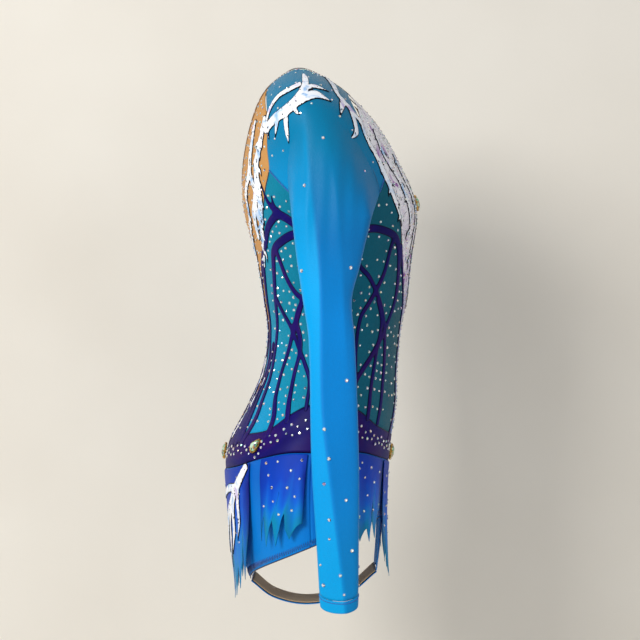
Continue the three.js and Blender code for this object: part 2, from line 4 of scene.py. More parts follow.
import bpy
import numpy as np
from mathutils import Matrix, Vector


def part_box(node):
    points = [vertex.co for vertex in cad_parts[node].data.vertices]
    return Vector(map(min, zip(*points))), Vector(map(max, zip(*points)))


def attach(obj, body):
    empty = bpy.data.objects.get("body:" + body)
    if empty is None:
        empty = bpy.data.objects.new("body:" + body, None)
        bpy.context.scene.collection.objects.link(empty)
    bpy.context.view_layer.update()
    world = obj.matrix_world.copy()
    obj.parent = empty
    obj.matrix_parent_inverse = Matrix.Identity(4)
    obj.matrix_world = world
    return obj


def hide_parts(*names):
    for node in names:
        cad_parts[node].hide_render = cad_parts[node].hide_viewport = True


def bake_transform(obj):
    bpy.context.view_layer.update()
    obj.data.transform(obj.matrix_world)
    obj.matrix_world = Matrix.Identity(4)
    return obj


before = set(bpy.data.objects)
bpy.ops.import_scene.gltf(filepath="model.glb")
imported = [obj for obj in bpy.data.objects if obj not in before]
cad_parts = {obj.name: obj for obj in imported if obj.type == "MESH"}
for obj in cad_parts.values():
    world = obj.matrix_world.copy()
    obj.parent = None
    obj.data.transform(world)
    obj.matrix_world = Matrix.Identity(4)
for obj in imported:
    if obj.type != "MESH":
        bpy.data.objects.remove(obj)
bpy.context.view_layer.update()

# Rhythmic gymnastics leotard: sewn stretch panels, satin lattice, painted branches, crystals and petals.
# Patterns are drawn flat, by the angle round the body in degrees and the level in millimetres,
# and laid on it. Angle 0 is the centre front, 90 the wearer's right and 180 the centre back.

# ---------- Sizes ----------

MM = 0.001
CLOTH_INSIDE = 0.2  # lift of the cloth's inner face off the body, mm
CLOTH_OUTSIDE = 0.9
TRIM_LIFT = 0.95  # what is laid on the cloth starts here
CELL = 3.0  # size of the cloth's grid, mm
TRIM_CELL = 1.15
PAINT_CELL = 0.95
MEAN_RADIUS = 115.0  # turns an angle into a flat width

BLOCK_TORSO = 567.2
BLOCK_HIPS = 287.9
LENGTH_GRADE = -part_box("crotch_gusset")[0][2] / MM / BLOCK_TORSO
GIRTH_GRADE = (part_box("hip_band_front")[1][0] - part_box("hip_band_front")[0][0]) / MM / BLOCK_HIPS
SIDES = (("right", 1), ("left", -1))


# ---------- The body that the cloth lies on ----------

def smooth_curve(*rows):
    """A smooth curve through (position, value) pairs, with positions rising."""
    at, value = np.array(rows, float).T
    index = np.arange(len(at))
    low = np.maximum(index - 1, 0)
    high = np.minimum(index + 1, len(at) - 1)
    slope = (value[high] - value[low]) / (at[high] - at[low])

    def curve(x):
        x = np.asarray(x, float)
        i = np.clip(np.searchsorted(at, x) - 1, 0, len(at) - 2)
        span = at[i + 1] - at[i]
        t = np.clip((x - at[i]) / span, 0, 1)
        ends = value[i] * (1 - t * t * (3 - 2 * t)) + value[i + 1] * t * t * (3 - 2 * t)
        return ends + span * (slope[i] * t * (1 - t) ** 2 - slope[i + 1] * t * t * (1 - t))
    return curve


# The garment block: level, half width, and where the side, front and back lines stand in Y.
BLOCK = (
    (-550, 132, 4, -62, 70), (-505, 140, 6, -68, 87), (-450, 146, 8, -73, 98), (-400, 142, 6, -78, 100),
    (-350, 128, -3, -86, 76), (-315, 115, -10, -87, 61), (-270, 104, -15, -91, 55),
    (-235, 108, -14, -98, 60), (-190, 121, -12, -103, 68), (-137, 138, -8, -107, 82),
    (-90, 151, 0, -90, 83), (-48, 159, 8, -65, 76), (-18, 128, 13, -37, 66), (9, 62, 20, -3, 43),
)
half_width_at, side_at, front_at, back_at = (
    smooth_curve(*((row[0], row[column]) for row in BLOCK)) for column in (1, 2, 3, 4)
)


def folded(angle):
    """The angle's size, measured from the centre front on either side."""
    angle = np.asarray(angle, float)
    return np.abs(np.where(angle > 180, angle - 360, angle))


def body_point(angle, level):
    turn = np.radians(angle)
    side = side_at(level)
    reach = np.where(np.cos(turn) > 0, side - front_at(level), back_at(level) - side)
    across = (folded(angle) - 32) / 17
    down = (np.asarray(level, float) + 140) / 38
    swell = 6 * np.exp(-across ** 2 - down ** 2)
    x = -half_width_at(level) * np.sin(turn) * GIRTH_GRADE
    y = (side - reach * np.cos(turn) - swell) * GIRTH_GRADE
    z = np.asarray(level, float) * LENGTH_GRADE + x * 0
    return np.stack([x, y, z], axis=-1)


def body_normal(angle, level):
    around = body_point(angle + 0.5, level) - body_point(angle - 0.5, level)
    upward = body_point(angle, level + 0.5) - body_point(angle, level - 0.5)
    normal = np.cross(upward, around)
    return normal / np.linalg.norm(normal, axis=-1, keepdims=True)


def lifted(angle, level, lift):
    angle, level = np.broadcast_arrays(np.asarray(angle, float), np.asarray(level, float))
    lift = np.broadcast_to(np.asarray(lift, float), angle.shape)
    return body_point(angle, level) + body_normal(angle, level) * lift[..., None]


def both_sides(*rows):
    curve = smooth_curve(*rows)
    return lambda angle: curve(folded(angle))


def mix(a, b, t):
    return a + (b - a) * t


neckline = both_sides(
    (0, -42), (13, -35), (25, -20), (38, -6), (60, 5), (90, 9),
    (120, 5), (143, -10), (152, -30), (160, -50), (168, -82), (180, -103),
)
band_top = both_sides(
    (0, -385), (20, -379), (43, -368), (63, -351), (80, -346),
    (99, -346), (112, -356), (125, -372), (141, -378), (180, -390),
)
band_bottom = both_sides(
    (0, -414), (30, -404), (56, -395), (92, -394), (107, -395), (125, -402), (147, -413), (180, -422),
)
leg_hem = both_sides(
    (20, -469), (30, -469), (56, -474), (72, -480), (88, -488),
    (109, -501), (127, -512), (150, -526), (168, -538),
)
front_seam = smooth_curve(
    (-390, 18), (-316, 17), (-270, 17), (-220, 26), (-162, 40),
    (-132, 46), (-106, 46), (-85, 48), (-66, 49), (-45, 44), (-20, 26),
)
back_seam = smooth_curve(
    (-400, 150), (-360, 157), (-320, 162), (-270, 163), (-225, 158), (-185, 148),
    (-150, 139), (-120, 132), (-104, 128), (-86, 129), (-52, 131), (-12, 144),
)
SIDE_SEAM = 90
ARMHOLE_ANGLE, ARMHOLE_HALF, ARMHOLE_BASE, ARMHOLE_ARCH, ARMHOLE_DIP = 84.5, 29.5, -127, 77, 6
RAGLAN_FRONT_LEVEL, RAGLAN_BACK_LEVEL = -106, -104
VEE_POINT, VEE_TOP_ANGLE = -97, 26


def armhole_edge(angle, height):
    offset = np.clip(np.abs((angle - ARMHOLE_ANGLE) / ARMHOLE_HALF), 0, 1)
    return ARMHOLE_BASE + height * np.sqrt(1 - offset ** 2.5)


def raglan_edge(angle, height):
    """The seam between the sleeve cap and the side panels, with the armhole's edge at that height."""
    angle = np.asarray(angle, float)
    start, end = ARMHOLE_ANGLE - ARMHOLE_HALF, ARMHOLE_ANGLE + ARMHOLE_HALF
    first, last = front_seam(RAGLAN_FRONT_LEVEL), back_seam(RAGLAN_BACK_LEVEL)
    front = mix(RAGLAN_FRONT_LEVEL, ARMHOLE_BASE, (angle - first) / (start - first))
    back = mix(ARMHOLE_BASE, RAGLAN_BACK_LEVEL, (angle - end) / (last - end))
    return np.where(angle < start, front, np.where(angle > end, back, armhole_edge(angle, height)))


def vee_edge(angle):
    t = np.clip(np.abs(angle) / VEE_TOP_ANGLE, 0, 1)
    return mix(VEE_POINT, neckline(VEE_TOP_ANGLE) - 2, t ** 1.25)


# ---------- Making meshes ----------

def make_piece(name, vertices, faces, material, smooth=True, side=1, facets=None, **marks):
    """A mesh piece from points in millimetres, mirrored for side -1, with its marks as point attributes."""
    vertices = np.asarray(vertices, float).reshape(-1, 3) * MM
    vertices[:, 0] *= side
    faces = [list(face)[::side] for face in faces]
    mesh = bpy.data.meshes.new(name)
    mesh.from_pydata(vertices.tolist(), [], faces)
    for mark, values in marks.items():
        data = mesh.attributes.new(mark, "FLOAT", "POINT").data
        data.foreach_set("value", np.asarray(values, np.float32).ravel())
    if facets is not None:
        data = mesh.attributes.new("glint", "FLOAT", "FACE").data
        data.foreach_set("value", np.asarray(facets, np.float32).ravel())
    if smooth:
        mesh.shade_smooth()
    mesh.materials.append(material)
    piece = bpy.data.objects.new(name, mesh)
    bpy.context.collection.objects.link(piece)
    return piece


def grid_faces(rows, columns, first=0, wrap=False):
    """Quads over a grid of points that are stored row by row."""
    i, j = np.meshgrid(np.arange(rows - 1), np.arange(columns if wrap else columns - 1), indexing="ij")
    here = first + i * columns + j
    beside = first + i * columns + (j + 1) % columns
    return np.stack([here, here + columns, beside + columns, beside], axis=-1).reshape(-1, 4)


def rim_strip(edge, count, turned, closed=False):
    """Quads between a line of outer points and the inner points stored count places after them."""
    following = np.roll(edge, -1) if closed else edge[1:]
    current = edge if closed else edge[:-1]
    strip = np.stack([current, current + count, following + count, following], axis=-1)
    return strip[:, ::-1] if turned else strip


def rim_faces(rows, columns, wrap=False):
    """Quads that join the edges of an outer grid to the edges of an inner grid stored after it."""
    count = rows * columns
    top = np.arange(columns)
    strips = [rim_strip(top + (rows - 1) * columns, count, False, wrap), rim_strip(top, count, True, wrap)]
    if not wrap:
        left = np.arange(rows) * columns
        strips += [rim_strip(left, count, False), rim_strip(left + columns - 1, count, True)]
    return np.concatenate(strips)


def make_shell(name, outer, inner, material, side=1, wrap=False, **marks):
    """A closed cloth sheet between two grids of points."""
    rows, columns = outer.shape[:2]
    faces = np.concatenate([
        grid_faces(rows, columns, 0, wrap),
        grid_faces(rows, columns, rows * columns, wrap)[:, ::-1],
        rim_faces(rows, columns, wrap),
    ])
    points = np.concatenate([outer.reshape(-1, 3), inner.reshape(-1, 3)])
    doubled = {mark: np.concatenate([np.ravel(v), np.ravel(v)]) for mark, v in marks.items()}
    return make_piece(name, points, faces, material, side=side, **doubled)


def stand_for(piece, nodes, body):
    """Hides the CAD nodes that a piece stands for and puts it on what it rides on."""
    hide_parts(*nodes)
    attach(piece, body)


def declare(piece, body, nodes):
    """Hides the CAD nodes that a piece of cloth was cut from, and puts it on its body."""
    stand_for(piece, nodes, body)


# ---------- Shader helpers ----------

def paint(red, green, blue):
    """A colour as seen on screen, 0 to 255, in linear values."""
    return (*(((c / 255 + 0.055) / 1.055) ** 2.4 for c in (red, green, blue)), 1.0)


def connect(tree, value, socket):
    if isinstance(value, bpy.types.NodeSocket):
        tree.links.new(value, socket)
    else:
        socket.default_value = value


def node(tree, kind, inputs=None, **settings):
    made = tree.nodes.new(kind)
    for key, value in settings.items():
        setattr(made, key, value)
    for key, value in (inputs or {}).items():
        connect(tree, value, made.inputs[key])
    return made


def attribute(tree, name):
    return node(tree, "ShaderNodeAttribute", attribute_name=name).outputs["Fac"]


def place(tree):
    return node(tree, "ShaderNodeTexCoord").outputs["Object"]


def noise(tree, scale, detail=3.0, distortion=0.0):
    inputs = {"Vector": place(tree), "Scale": scale, "Detail": detail, "Distortion": distortion}
    return node(tree, "ShaderNodeTexNoise", inputs).outputs["Fac"]


def maths(tree, operation, a, b=0.0, clamp=False):
    made = node(tree, "ShaderNodeMath", operation=operation, use_clamp=clamp)
    connect(tree, a, made.inputs[0])
    connect(tree, b, made.inputs[1])
    return made.outputs[0]


def blended(tree, factor, a, b, how="MIX"):
    made = node(tree, "ShaderNodeMix", data_type="RGBA", blend_type=how)
    connect(tree, factor, made.inputs[0])
    connect(tree, a, made.inputs[6])
    connect(tree, b, made.inputs[7])
    return made.outputs[2]


def ramp(tree, factor, *stops):
    made = node(tree, "ShaderNodeValToRGB", {"Fac": factor})
    elements = made.color_ramp.elements
    elements.remove(elements[1])
    elements[0].position, elements[0].color = stops[0]
    for position, colour in stops[1:]:
        elements.new(position).color = colour
    return made.outputs["Color"]


def bump(tree, height, distance, strength=1.0):
    inputs = {"Height": height, "Distance": distance, "Strength": strength}
    return node(tree, "ShaderNodeBump", inputs).outputs["Normal"]


def new_material(name):
    material = bpy.data.materials.new(name)
    material.use_nodes = True
    return material, material.node_tree


def finish_material(tree, colour, roughness, normal=None, **constants):
    shader = tree.nodes["Principled BSDF"]
    connect(tree, colour, shader.inputs["Base Color"])
    connect(tree, roughness, shader.inputs["Roughness"])
    if normal:
        connect(tree, normal, shader.inputs["Normal"])
    for key, value in constants.items():
        shader.inputs[key.replace("_", " ")].default_value = value


def net(tree, pitch):
    """Holes of a warp-knitted net with that pitch in metres: 1 on the threads and 0 in the holes."""
    cells = node(tree, "ShaderNodeTexVoronoi", {"Vector": place(tree), "Scale": 1 / pitch})
    return maths(tree, "MULTIPLY", cells.outputs["Distance"], 1.5, clamp=True)


def knit(tree, pitch):
    """Fine upright ribs of a knit with that pitch in metres."""
    flat = node(tree, "ShaderNodeCombineXYZ", {
        "X": attribute(tree, "across"), "Y": attribute(tree, "along"),
    }).outputs["Vector"]
    scale = 0.314 / pitch  # the wave texture has a band in every tenth of pi
    wave = node(tree, "ShaderNodeTexWave", {"Vector": flat, "Scale": scale}, bands_direction="X")
    return wave.outputs["Fac"]


def uneven(tree, scale, amount, detail=3.0, distortion=0.0):
    """The tone mark, shifted unevenly from place to place by up to half the amount either way."""
    drift = maths(tree, "SUBTRACT", noise(tree, scale, detail, distortion), 0.5)
    return maths(tree, "ADD", attribute(tree, "tone"), maths(tree, "MULTIPLY", drift, amount), clamp=True)


def roughened(tree, grain, least, amount):
    return maths(tree, "ADD", maths(tree, "MULTIPLY", grain, amount), least)


WHITE, BLACK = (1, 1, 1, 1), (0, 0, 0, 1)


# ---------- Cloth materials ----------

def net_cloth(name, stops, pitch=0.0011, dark=0.8, mottling=0.12, roughness=0.62, doubled=None):
    """Sheer stretch net: its tone runs down the cloth, dyed unevenly, with the net's holes over it.

    Its fold mark blends in the colours of the second run: on the sleeve that is partly where the net lies
    double and partly painted light and a painted highlight.
    """
    material, tree = new_material(name)
    tone = uneven(tree, 14, mottling * 2)
    colour = ramp(tree, tone, *stops)
    # On the sleeve the fold mark is partly the net lying double and partly painted light and a painted
    # highlight.
    if doubled:
        colour = blended(tree, attribute(tree, "fold"), colour, ramp(tree, tone, *doubled))
    threads = net(tree, pitch)
    darker = blended(tree, 1.0, colour, (dark, dark, dark, 1), "MULTIPLY")
    colour = blended(tree, threads, darker, colour)
    finish_material(
        tree, colour, roughened(tree, threads, roughness, -0.1), bump(tree, threads, 0.00018, 0.7),
        Sheen_Weight=0.05, Sheen_Roughness=0.4, Specular_IOR_Level=0.1,
    )
    return material


# The teal tone is painted light: 0 at the front of the side panels, in painted shade, up to 1 at the lit
# back.
teal_cloth = net_cloth(
    "teal_net",
    (
        (0.0, paint(8, 84, 104)), (0.45, paint(2, 108, 134)),
        (0.8, paint(0, 136, 168)), (1.0, paint(0, 150, 200)),
    ),
)
nude_cloth = net_cloth(
    "nude_net",
    ((0.0, paint(178, 122, 62)), (0.5, paint(196, 142, 80)), (1.0, paint(212, 160, 98))),
    pitch=0.0009, dark=0.86,
)
lining_cloth = net_cloth(
    "lining_knit",
    ((0.0, paint(204, 168, 124)), (1.0, paint(222, 190, 150))),
    pitch=0.0006, dark=0.9, roughness=0.8,
)
sleeve_cloth = net_cloth(
    "cyan_net",
    (
        (0.0, paint(0, 112, 150)), (0.14, paint(0, 118, 164)), (0.3, paint(0, 112, 180)),
        (0.45, paint(0, 128, 208)), (0.75, paint(0, 124, 202)), (1.0, paint(0, 130, 196)),
    ),
    pitch=0.0008, dark=0.88, mottling=0.04, roughness=0.5,
    # The second run, under the fold mark, is lighter: partly the net lying double, partly painted light and
    # a painted highlight.
    doubled=(
        (0.0, paint(0, 128, 172)), (0.2, paint(0, 138, 196)), (0.4, paint(0, 162, 232)),
        (0.75, paint(0, 154, 226)), (1.0, paint(0, 156, 220)),
    ),
)


def make_lycra():
    """Blue stretch knit: brighter and lighter towards the leg hem, with a satin sheen."""
    material, tree = new_material("blue_knit")
    colour = ramp(
        tree, uneven(tree, 9, 0.25),
        (0.0, paint(0, 98, 192)), (0.35, paint(0, 118, 208)), (1.0, paint(0, 132, 216)),
    )
    ribs = knit(tree, 0.0007)
    finish_material(
        tree, colour, roughened(tree, ribs, 0.42, 0.12), bump(tree, ribs, 0.00012, 0.5),
        Sheen_Weight=0.05, Sheen_Roughness=0.35, Specular_IOR_Level=0.1,
    )
    return material


def make_satin():
    """Indigo satin-faced stretch cloth, blotched with violet, its cut edge darker."""
    material, tree = new_material("indigo_satin")
    blotch = noise(tree, 22, 2.0, 0.4)
    face = ramp(
        tree, blotch,
        (0.3, paint(10, 0, 84)), (0.48, paint(14, 0, 98)),
        (0.62, paint(38, 0, 92)), (0.8, paint(8, 0, 110)),
    )
    edge = ramp(
        tree, attribute(tree, "depth"), (0.0, paint(26, 4, 58)), (0.5, paint(235, 235, 255)), (1.0, WHITE),
    )
    colour = blended(tree, 0.85, face, edge, "MULTIPLY")
    grain = noise(tree, 900, 2.0)
    finish_material(
        tree, colour, roughened(tree, grain, 0.44, 0.16), bump(tree, grain, 0.00012, 0.5),
        Coat_Weight=0.03, Coat_Roughness=0.35, Specular_IOR_Level=0.1,
    )
    return material


def make_branch_paint():
    """White cut-outs with an inked edge, washed with pale blue and lavender and flecked with black."""
    material, tree = new_material("white_branch")
    wash = noise(tree, 60, 2.0, 0.6)
    face = ramp(
        tree, wash,
        (0.34, paint(150, 190, 232)), (0.46, paint(232, 238, 248)), (0.62, paint(248, 248, 250)),
        (0.74, paint(196, 184, 226)),
    )
    flecks = maths(tree, "GREATER_THAN", noise(tree, 230, 1.0), 0.68)
    face = blended(tree, flecks, face, paint(34, 34, 48))
    ragged = maths(tree, "MULTIPLY", maths(tree, "SUBTRACT", noise(tree, 380, 2.0), 0.5), 0.5)
    inked = maths(tree, "LESS_THAN", maths(tree, "ADD", attribute(tree, "depth"), ragged), 0.34)
    colour = blended(tree, inked, face, paint(10, 10, 26))
    finish_material(
        tree, colour, 0.5, bump(tree, noise(tree, 1200, 2.0), 0.0001, 0.5),
        Specular_IOR_Level=0.1,
    )
    return material


def make_front_paint():
    """The front panel: white stretch cloth sprayed silver, lavender, mauve and pale blue."""
    material, tree = new_material("painted_front")
    base = ramp(
        tree, uneven(tree, 16, 0.5, 3.0, 1.2),
        (0.0, paint(236, 234, 240)), (0.28, paint(214, 206, 226)), (0.46, paint(176, 172, 208)),
        (0.66, paint(128, 158, 210)), (1.0, paint(86, 128, 196)),
    )
    silver = ramp(tree, noise(tree, 55, 4.0, 1.6), (0.52, BLACK), (0.6, WHITE))
    base = blended(tree, silver, base, paint(240, 240, 246))
    mauve = ramp(tree, noise(tree, 21, 2.0, 2.0), (0.6, BLACK), (0.68, WHITE))
    base = blended(tree, mauve, base, paint(158, 104, 176))
    ink = ramp(
        tree, noise(tree, 34, 2.0, 2.6),
        (0.492, BLACK), (0.499, WHITE), (0.506, WHITE), (0.513, BLACK),
    )
    colour = blended(tree, ink, base, paint(26, 28, 44))
    threads = net(tree, 0.0008)
    finish_material(
        tree, colour, 0.55, bump(tree, threads, 0.00012, 0.6),
        Sheen_Weight=0.05, Sheen_Roughness=0.4, Specular_IOR_Level=0.1,
    )
    return material


def make_chiffon():
    """Petal chiffon: royal blue at the hip, sky blue, then teal at the tips, with painted shade inside its
    folds.
    """
    material, tree = new_material("petal_chiffon")
    colour = ramp(
        tree, uneven(tree, 26, 0.55, 3.0, 0.6),
        (0.0, paint(0, 54, 164)), (0.3, paint(0, 62, 182)), (0.55, paint(0, 92, 204)),
        (0.78, paint(0, 122, 204)), (1.0, paint(0, 128, 172)),
    )
    # Painted shade: the fold mark darkens the wave troughs and folded edges.
    shade = ramp(tree, attribute(tree, "fold"), (0.0, WHITE), (1.0, paint(70, 110, 165)))
    colour = blended(tree, 1.0, colour, shade, "MULTIPLY")
    weave = noise(tree, 1400, 1.0)
    finish_material(
        tree, colour, 0.5, bump(tree, weave, 0.0001, 0.5),
        Sheen_Weight=0.05, Sheen_Roughness=0.35, Specular_IOR_Level=0.1,
    )
    return material


def make_crystal():
    """Small foiled glass stones with a rainbow coating: each facet has its own tint, partly the coating's
    colours and partly painted reflections, from white to near black.
    """
    material, tree = new_material("flat_back_crystal")
    colour = ramp(
        tree, attribute(tree, "glint"),
        (0.0, paint(24, 20, 38)), (0.14, paint(92, 80, 120)), (0.28, paint(126, 206, 180)),
        (0.42, paint(236, 240, 244)), (0.58, paint(255, 255, 255)), (0.7, paint(238, 200, 140)),
        (0.8, paint(196, 150, 216)), (0.9, paint(110, 170, 220)), (1.0, paint(60, 54, 80)),
    )
    finish_material(tree, colour, 0.12, None, Metallic=0.55, Coat_Weight=0.8, Coat_Roughness=0.04)
    return material


def make_gem():
    """The large teardrops: pale sea-green glass, each facet painted with its own reflection, dark, pale,
    gold and violet flashes from facet to facet.
    """
    material, tree = new_material("teardrop_crystal")
    veil = noise(tree, 160, 2.0)
    colour = ramp(
        tree, attribute(tree, "glint"),
        (0.0, paint(30, 52, 34)), (0.2, paint(84, 146, 96)), (0.45, paint(128, 206, 160)),
        (0.62, paint(206, 236, 210)), (0.8, paint(196, 150, 76)), (1.0, paint(96, 84, 150)),
    )
    finish_material(
        tree, colour, roughened(tree, veil, 0.05, 0.08), None,
        Metallic=0.3, Coat_Weight=1.0, Coat_Roughness=0.03,
    )
    return material


def make_gold():
    material, tree = new_material("gold_setting")
    wear = noise(tree, 420, 3.0)
    colour = ramp(tree, wear, (0.35, paint(150, 108, 42)), (0.6, paint(214, 170, 88)))
    rough = roughened(tree, wear, 0.18, 0.2)
    finish_material(tree, colour, rough, bump(tree, wear, 0.0001, 0.4), Metallic=0.95)
    return material


def make_thread(name, light, dark):
    """Twisted sewing thread or covered elastic, with ply marks across it."""
    material, tree = new_material(name)
    twist = noise(tree, 1500, 1.0)
    colour = ramp(tree, twist, (0.4, dark), (0.6, light))
    finish_material(tree, colour, 0.6, bump(tree, twist, 0.0001, 0.6), Sheen_Weight=0.2)
    return material


blue_lycra = make_lycra()
satin = make_satin()
branch_paint = make_branch_paint()
front_paint = make_front_paint()
chiffon = make_chiffon()
crystal = make_crystal()
gem_glass = make_gem()
gold = make_gold()
blue_thread = make_thread("blue_thread", paint(24, 104, 196), paint(8, 56, 132))
dark_thread = make_thread("brown_elastic", paint(122, 84, 44), paint(74, 46, 24))
ink_thread = make_thread("ink_thread", paint(40, 34, 74), paint(16, 12, 40))
elastic_cover = make_thread("elastic_cover", paint(214, 214, 222), paint(168, 168, 184))


# ---------- Body panels ----------

def panel_grid(top, bottom, start, end):
    """Angles and levels over a panel between two edges and two seams that bend with the level."""
    middle = float(start(-200) + end(-200)) / 2
    height = abs(float(top(middle) - bottom(middle)))
    width = abs(float(end(-200) - start(-200))) * 2.1
    rows, columns = int(height / CELL) + 2, int(width / CELL) + 2
    down, across = np.meshgrid(np.linspace(0, 1, rows), np.linspace(0, 1, columns), indexing="ij")
    level = mix(top(middle), bottom(middle), down)
    angle = level * 0 + middle
    for _ in range(8):
        angle = mix(start(level), end(level), across)
        level = mix(top(angle), bottom(angle), down)
    return angle, level


def cloth_marks(angle, level, tone):
    return {
        "across": np.radians(angle) * MEAN_RADIUS * MM,
        "along": level * MM,
        "tone": np.broadcast_to(tone, angle.shape),
    }


def body_cloth(name, grid, tone, material, node_name, side=1, faces=(CLOTH_INSIDE, CLOTH_OUTSIDE)):
    """A panel over a grid of angles and levels, between the lifts of its inner and outer faces."""
    angle, level = grid
    inner, outer = (lifted(angle, level, lift) for lift in faces)
    piece = make_shell(name, outer, inner, material, side=side, **cloth_marks(angle, level, tone))
    declare(piece, "garment", [node_name])


def steady(value):
    """An edge or a seam that stays at one level or angle."""
    return lambda at: value + at * 0


def build_front():
    angle, level = panel_grid(vee_edge, band_top, lambda z: -front_seam(z), front_seam)
    tone = np.clip((-level - 120) / 270, 0, 1)
    body_cloth("front_panel_cloth", (angle, level), tone, front_paint, "front_centre_panel")
    half = VEE_TOP_ANGLE - 0.3
    grid = panel_grid(neckline, vee_edge, steady(-half), steady(half))
    body_cloth("neck_insert_net", grid, 0.35, nude_cloth, "neck_insert")
    grid = panel_grid(
        lambda a: vee_edge(a) - 8, steady(-205), lambda z: 6 - front_seam(z), lambda z: front_seam(z) - 6,
    )
    body_cloth("bust_lining_cloth", grid, 0.5, lining_cloth, "bust_lining", faces=(-4.3, -3.6))


def build_sides_and_back():
    def side_top(angle):
        return raglan_edge(angle, -ARMHOLE_DIP)

    side_seam = steady(SIDE_SEAM)
    for word, side in SIDES:
        for place_name, start, end, bright_from, spread, most in (
            ("front", front_seam, side_seam, 300, 600, 0.1), ("back", side_seam, back_seam, 250, 400, 0.3),
        ):
            angle, level = panel_grid(side_top, band_top, start, end)
            # The tone is painted light, rising round towards the back where the key light falls; it also
            # rises lower down on the panel.
            tone = np.clip((angle - 30) / 150, 0, 1) + np.clip((-level - bright_from) / spread, 0, most)
            name = f"{word}_{place_name}_side"
            body_cloth(f"{name}_net", (angle, level), tone, teal_cloth, f"{name}_panel", side)
    grid = panel_grid(neckline, band_top, back_seam, lambda z: 360 - back_seam(z))
    body_cloth("back_net", grid, 0.6, nude_cloth, "back_mesh_panel")


GUSSET_FRONT_ANGLE, GUSSET_FRONT_LEVEL = 13, -530
GUSSET_BACK_ANGLE, GUSSET_BACK_LEVEL = 168, -540
HEM_TOP_ANGLE = 20


def front_hem(angle):
    size = np.abs(angle)
    t = np.clip((HEM_TOP_ANGLE - size) / (HEM_TOP_ANGLE - GUSSET_FRONT_ANGLE), 0, 1)
    tongue = mix(leg_hem(HEM_TOP_ANGLE), GUSSET_FRONT_LEVEL, np.sin(t * math.pi / 2) ** 1.5)
    return np.where(size >= HEM_TOP_ANGLE, leg_hem(size), tongue)


def column_grid(top, bottom, angles, rows):
    down, angle = np.meshgrid(np.linspace(0, 1, rows), angles, indexing="ij")
    return angle, mix(top(angle), bottom(angle), down)


def build_hips():
    front = np.linspace(-SIDE_SEAM, SIDE_SEAM, 120)
    back = np.linspace(SIDE_SEAM, 360 - SIDE_SEAM, 120)
    for name, angles in (("hip_band_front", front), ("hip_band_back", back)):
        angle, level = column_grid(band_top, band_bottom, angles, 16)
        marks = cloth_marks(angle, level, 0.5)
        down = np.linspace(0, 1, 16)[:, None] + angle * 0
        marks["depth"] = np.clip(np.minimum(down, 1 - down) * 8, 0, 1)
        crease = 0.5 * np.sin(down * 9 + np.sin(np.radians(angle) * 5) * 1.2) * np.sin(down * math.pi)
        outer = lifted(angle, level, CLOTH_OUTSIDE + 0.3 + crease)
        piece = make_shell(f"{name}_satin", outer, lifted(angle, level, CLOTH_INSIDE), satin, **marks)
        declare(piece, "garment", [name])
    tongue = np.linspace(-HEM_TOP_ANGLE, HEM_TOP_ANGLE, 61)
    angles = np.concatenate([np.linspace(-SIDE_SEAM, -21, 40), tongue, np.linspace(21, SIDE_SEAM, 40)])
    build_brief("front", column_grid(band_bottom, front_hem, angles, 44))
    angles = np.linspace(SIDE_SEAM, 360 - SIDE_SEAM, 130)
    angles = np.concatenate([angles[angles < 168], np.linspace(168, 192, 15), angles[angles > 192]])
    build_brief("back", column_grid(band_bottom, leg_hem, angles, 48))


def build_brief(name, grid):
    tone = np.clip((-grid[1] - 420) / 110, 0, 1)
    body_cloth(f"brief_{name}_knit", grid, tone, blue_lycra, f"brief_{name}")


def gusset_grid(lift):
    """The gusset as a shallow arch between the two tongues of the brief."""
    front = body_point(0.0, GUSSET_FRONT_LEVEL)
    back = body_point(180.0, GUSSET_BACK_LEVEL)
    crotch = -566 * LENGTH_GRADE
    t = np.linspace(0, 1, 50)
    y = smooth_curve(
        (0, front[1] + 1), (0.3, mix(front[1], back[1], 0.25)), (0.55, mix(front[1], back[1], 0.55)),
        (0.8, mix(front[1], back[1], 0.82)), (1, back[1] - 1),
    )(t)
    z = smooth_curve(
        (0, front[2] - 0.3), (0.3, mix(front[2], crotch, 0.75)), (0.55, crotch),
        (0.8, mix(back[2], crotch, 0.7)), (1, back[2] - 0.3),
    )(t)
    along = np.stack([np.gradient(y), np.gradient(z)])
    along /= np.linalg.norm(along, axis=0)
    half = abs(body_point(GUSSET_FRONT_ANGLE, GUSSET_FRONT_LEVEL)[0]) * (1 - 0.15 * np.sin(math.pi * t))
    across = np.linspace(1, -1, 24)
    x = half[:, None] * across
    return np.stack([
        x, (y + along[1] * lift)[:, None] + x * 0, (z - along[0] * lift)[:, None] + x * 0,
    ], axis=-1)


def build_gusset():
    for name, low, high, material, node_name, slot in (
        ("gusset_knit", 0.2, 1.0, blue_lycra, "crotch_gusset", "blue_lycra"),
        ("gusset_lining_cloth", -1.7, -1.1, lining_cloth, "gusset_lining", "lining"),
    ):
        outer = gusset_grid(high)
        marks = {"across": outer[..., 0] * MM, "along": outer[..., 1] * MM, "tone": outer[..., 0] * 0 + 0.9}
        piece = make_shell(name, outer, gusset_grid(low), material, **marks)
        declare(piece, "garment", [node_name])


# ---------- Appliques: strokes joined into one flat outline, domed and laid on the cloth ----------

def flat_x(angle):
    return np.radians(angle) * MEAN_RADIUS


def smooth_path(points, step=2.5):
    """A smooth line through points of (angle, level): flat points in mm and their share of the way."""
    corners = np.array([(flat_x(angle), level) for angle, level in points], float)
    legs = np.linalg.norm(np.diff(corners, axis=0), axis=1)
    way = np.concatenate([[0], np.cumsum(legs)])
    at = np.linspace(0, way[-1], max(4, int(way[-1] / step)))
    line = np.stack([smooth_curve(*zip(way, corners[:, k]))(at) for k in (0, 1)], axis=-1)
    return line, at / way[-1]


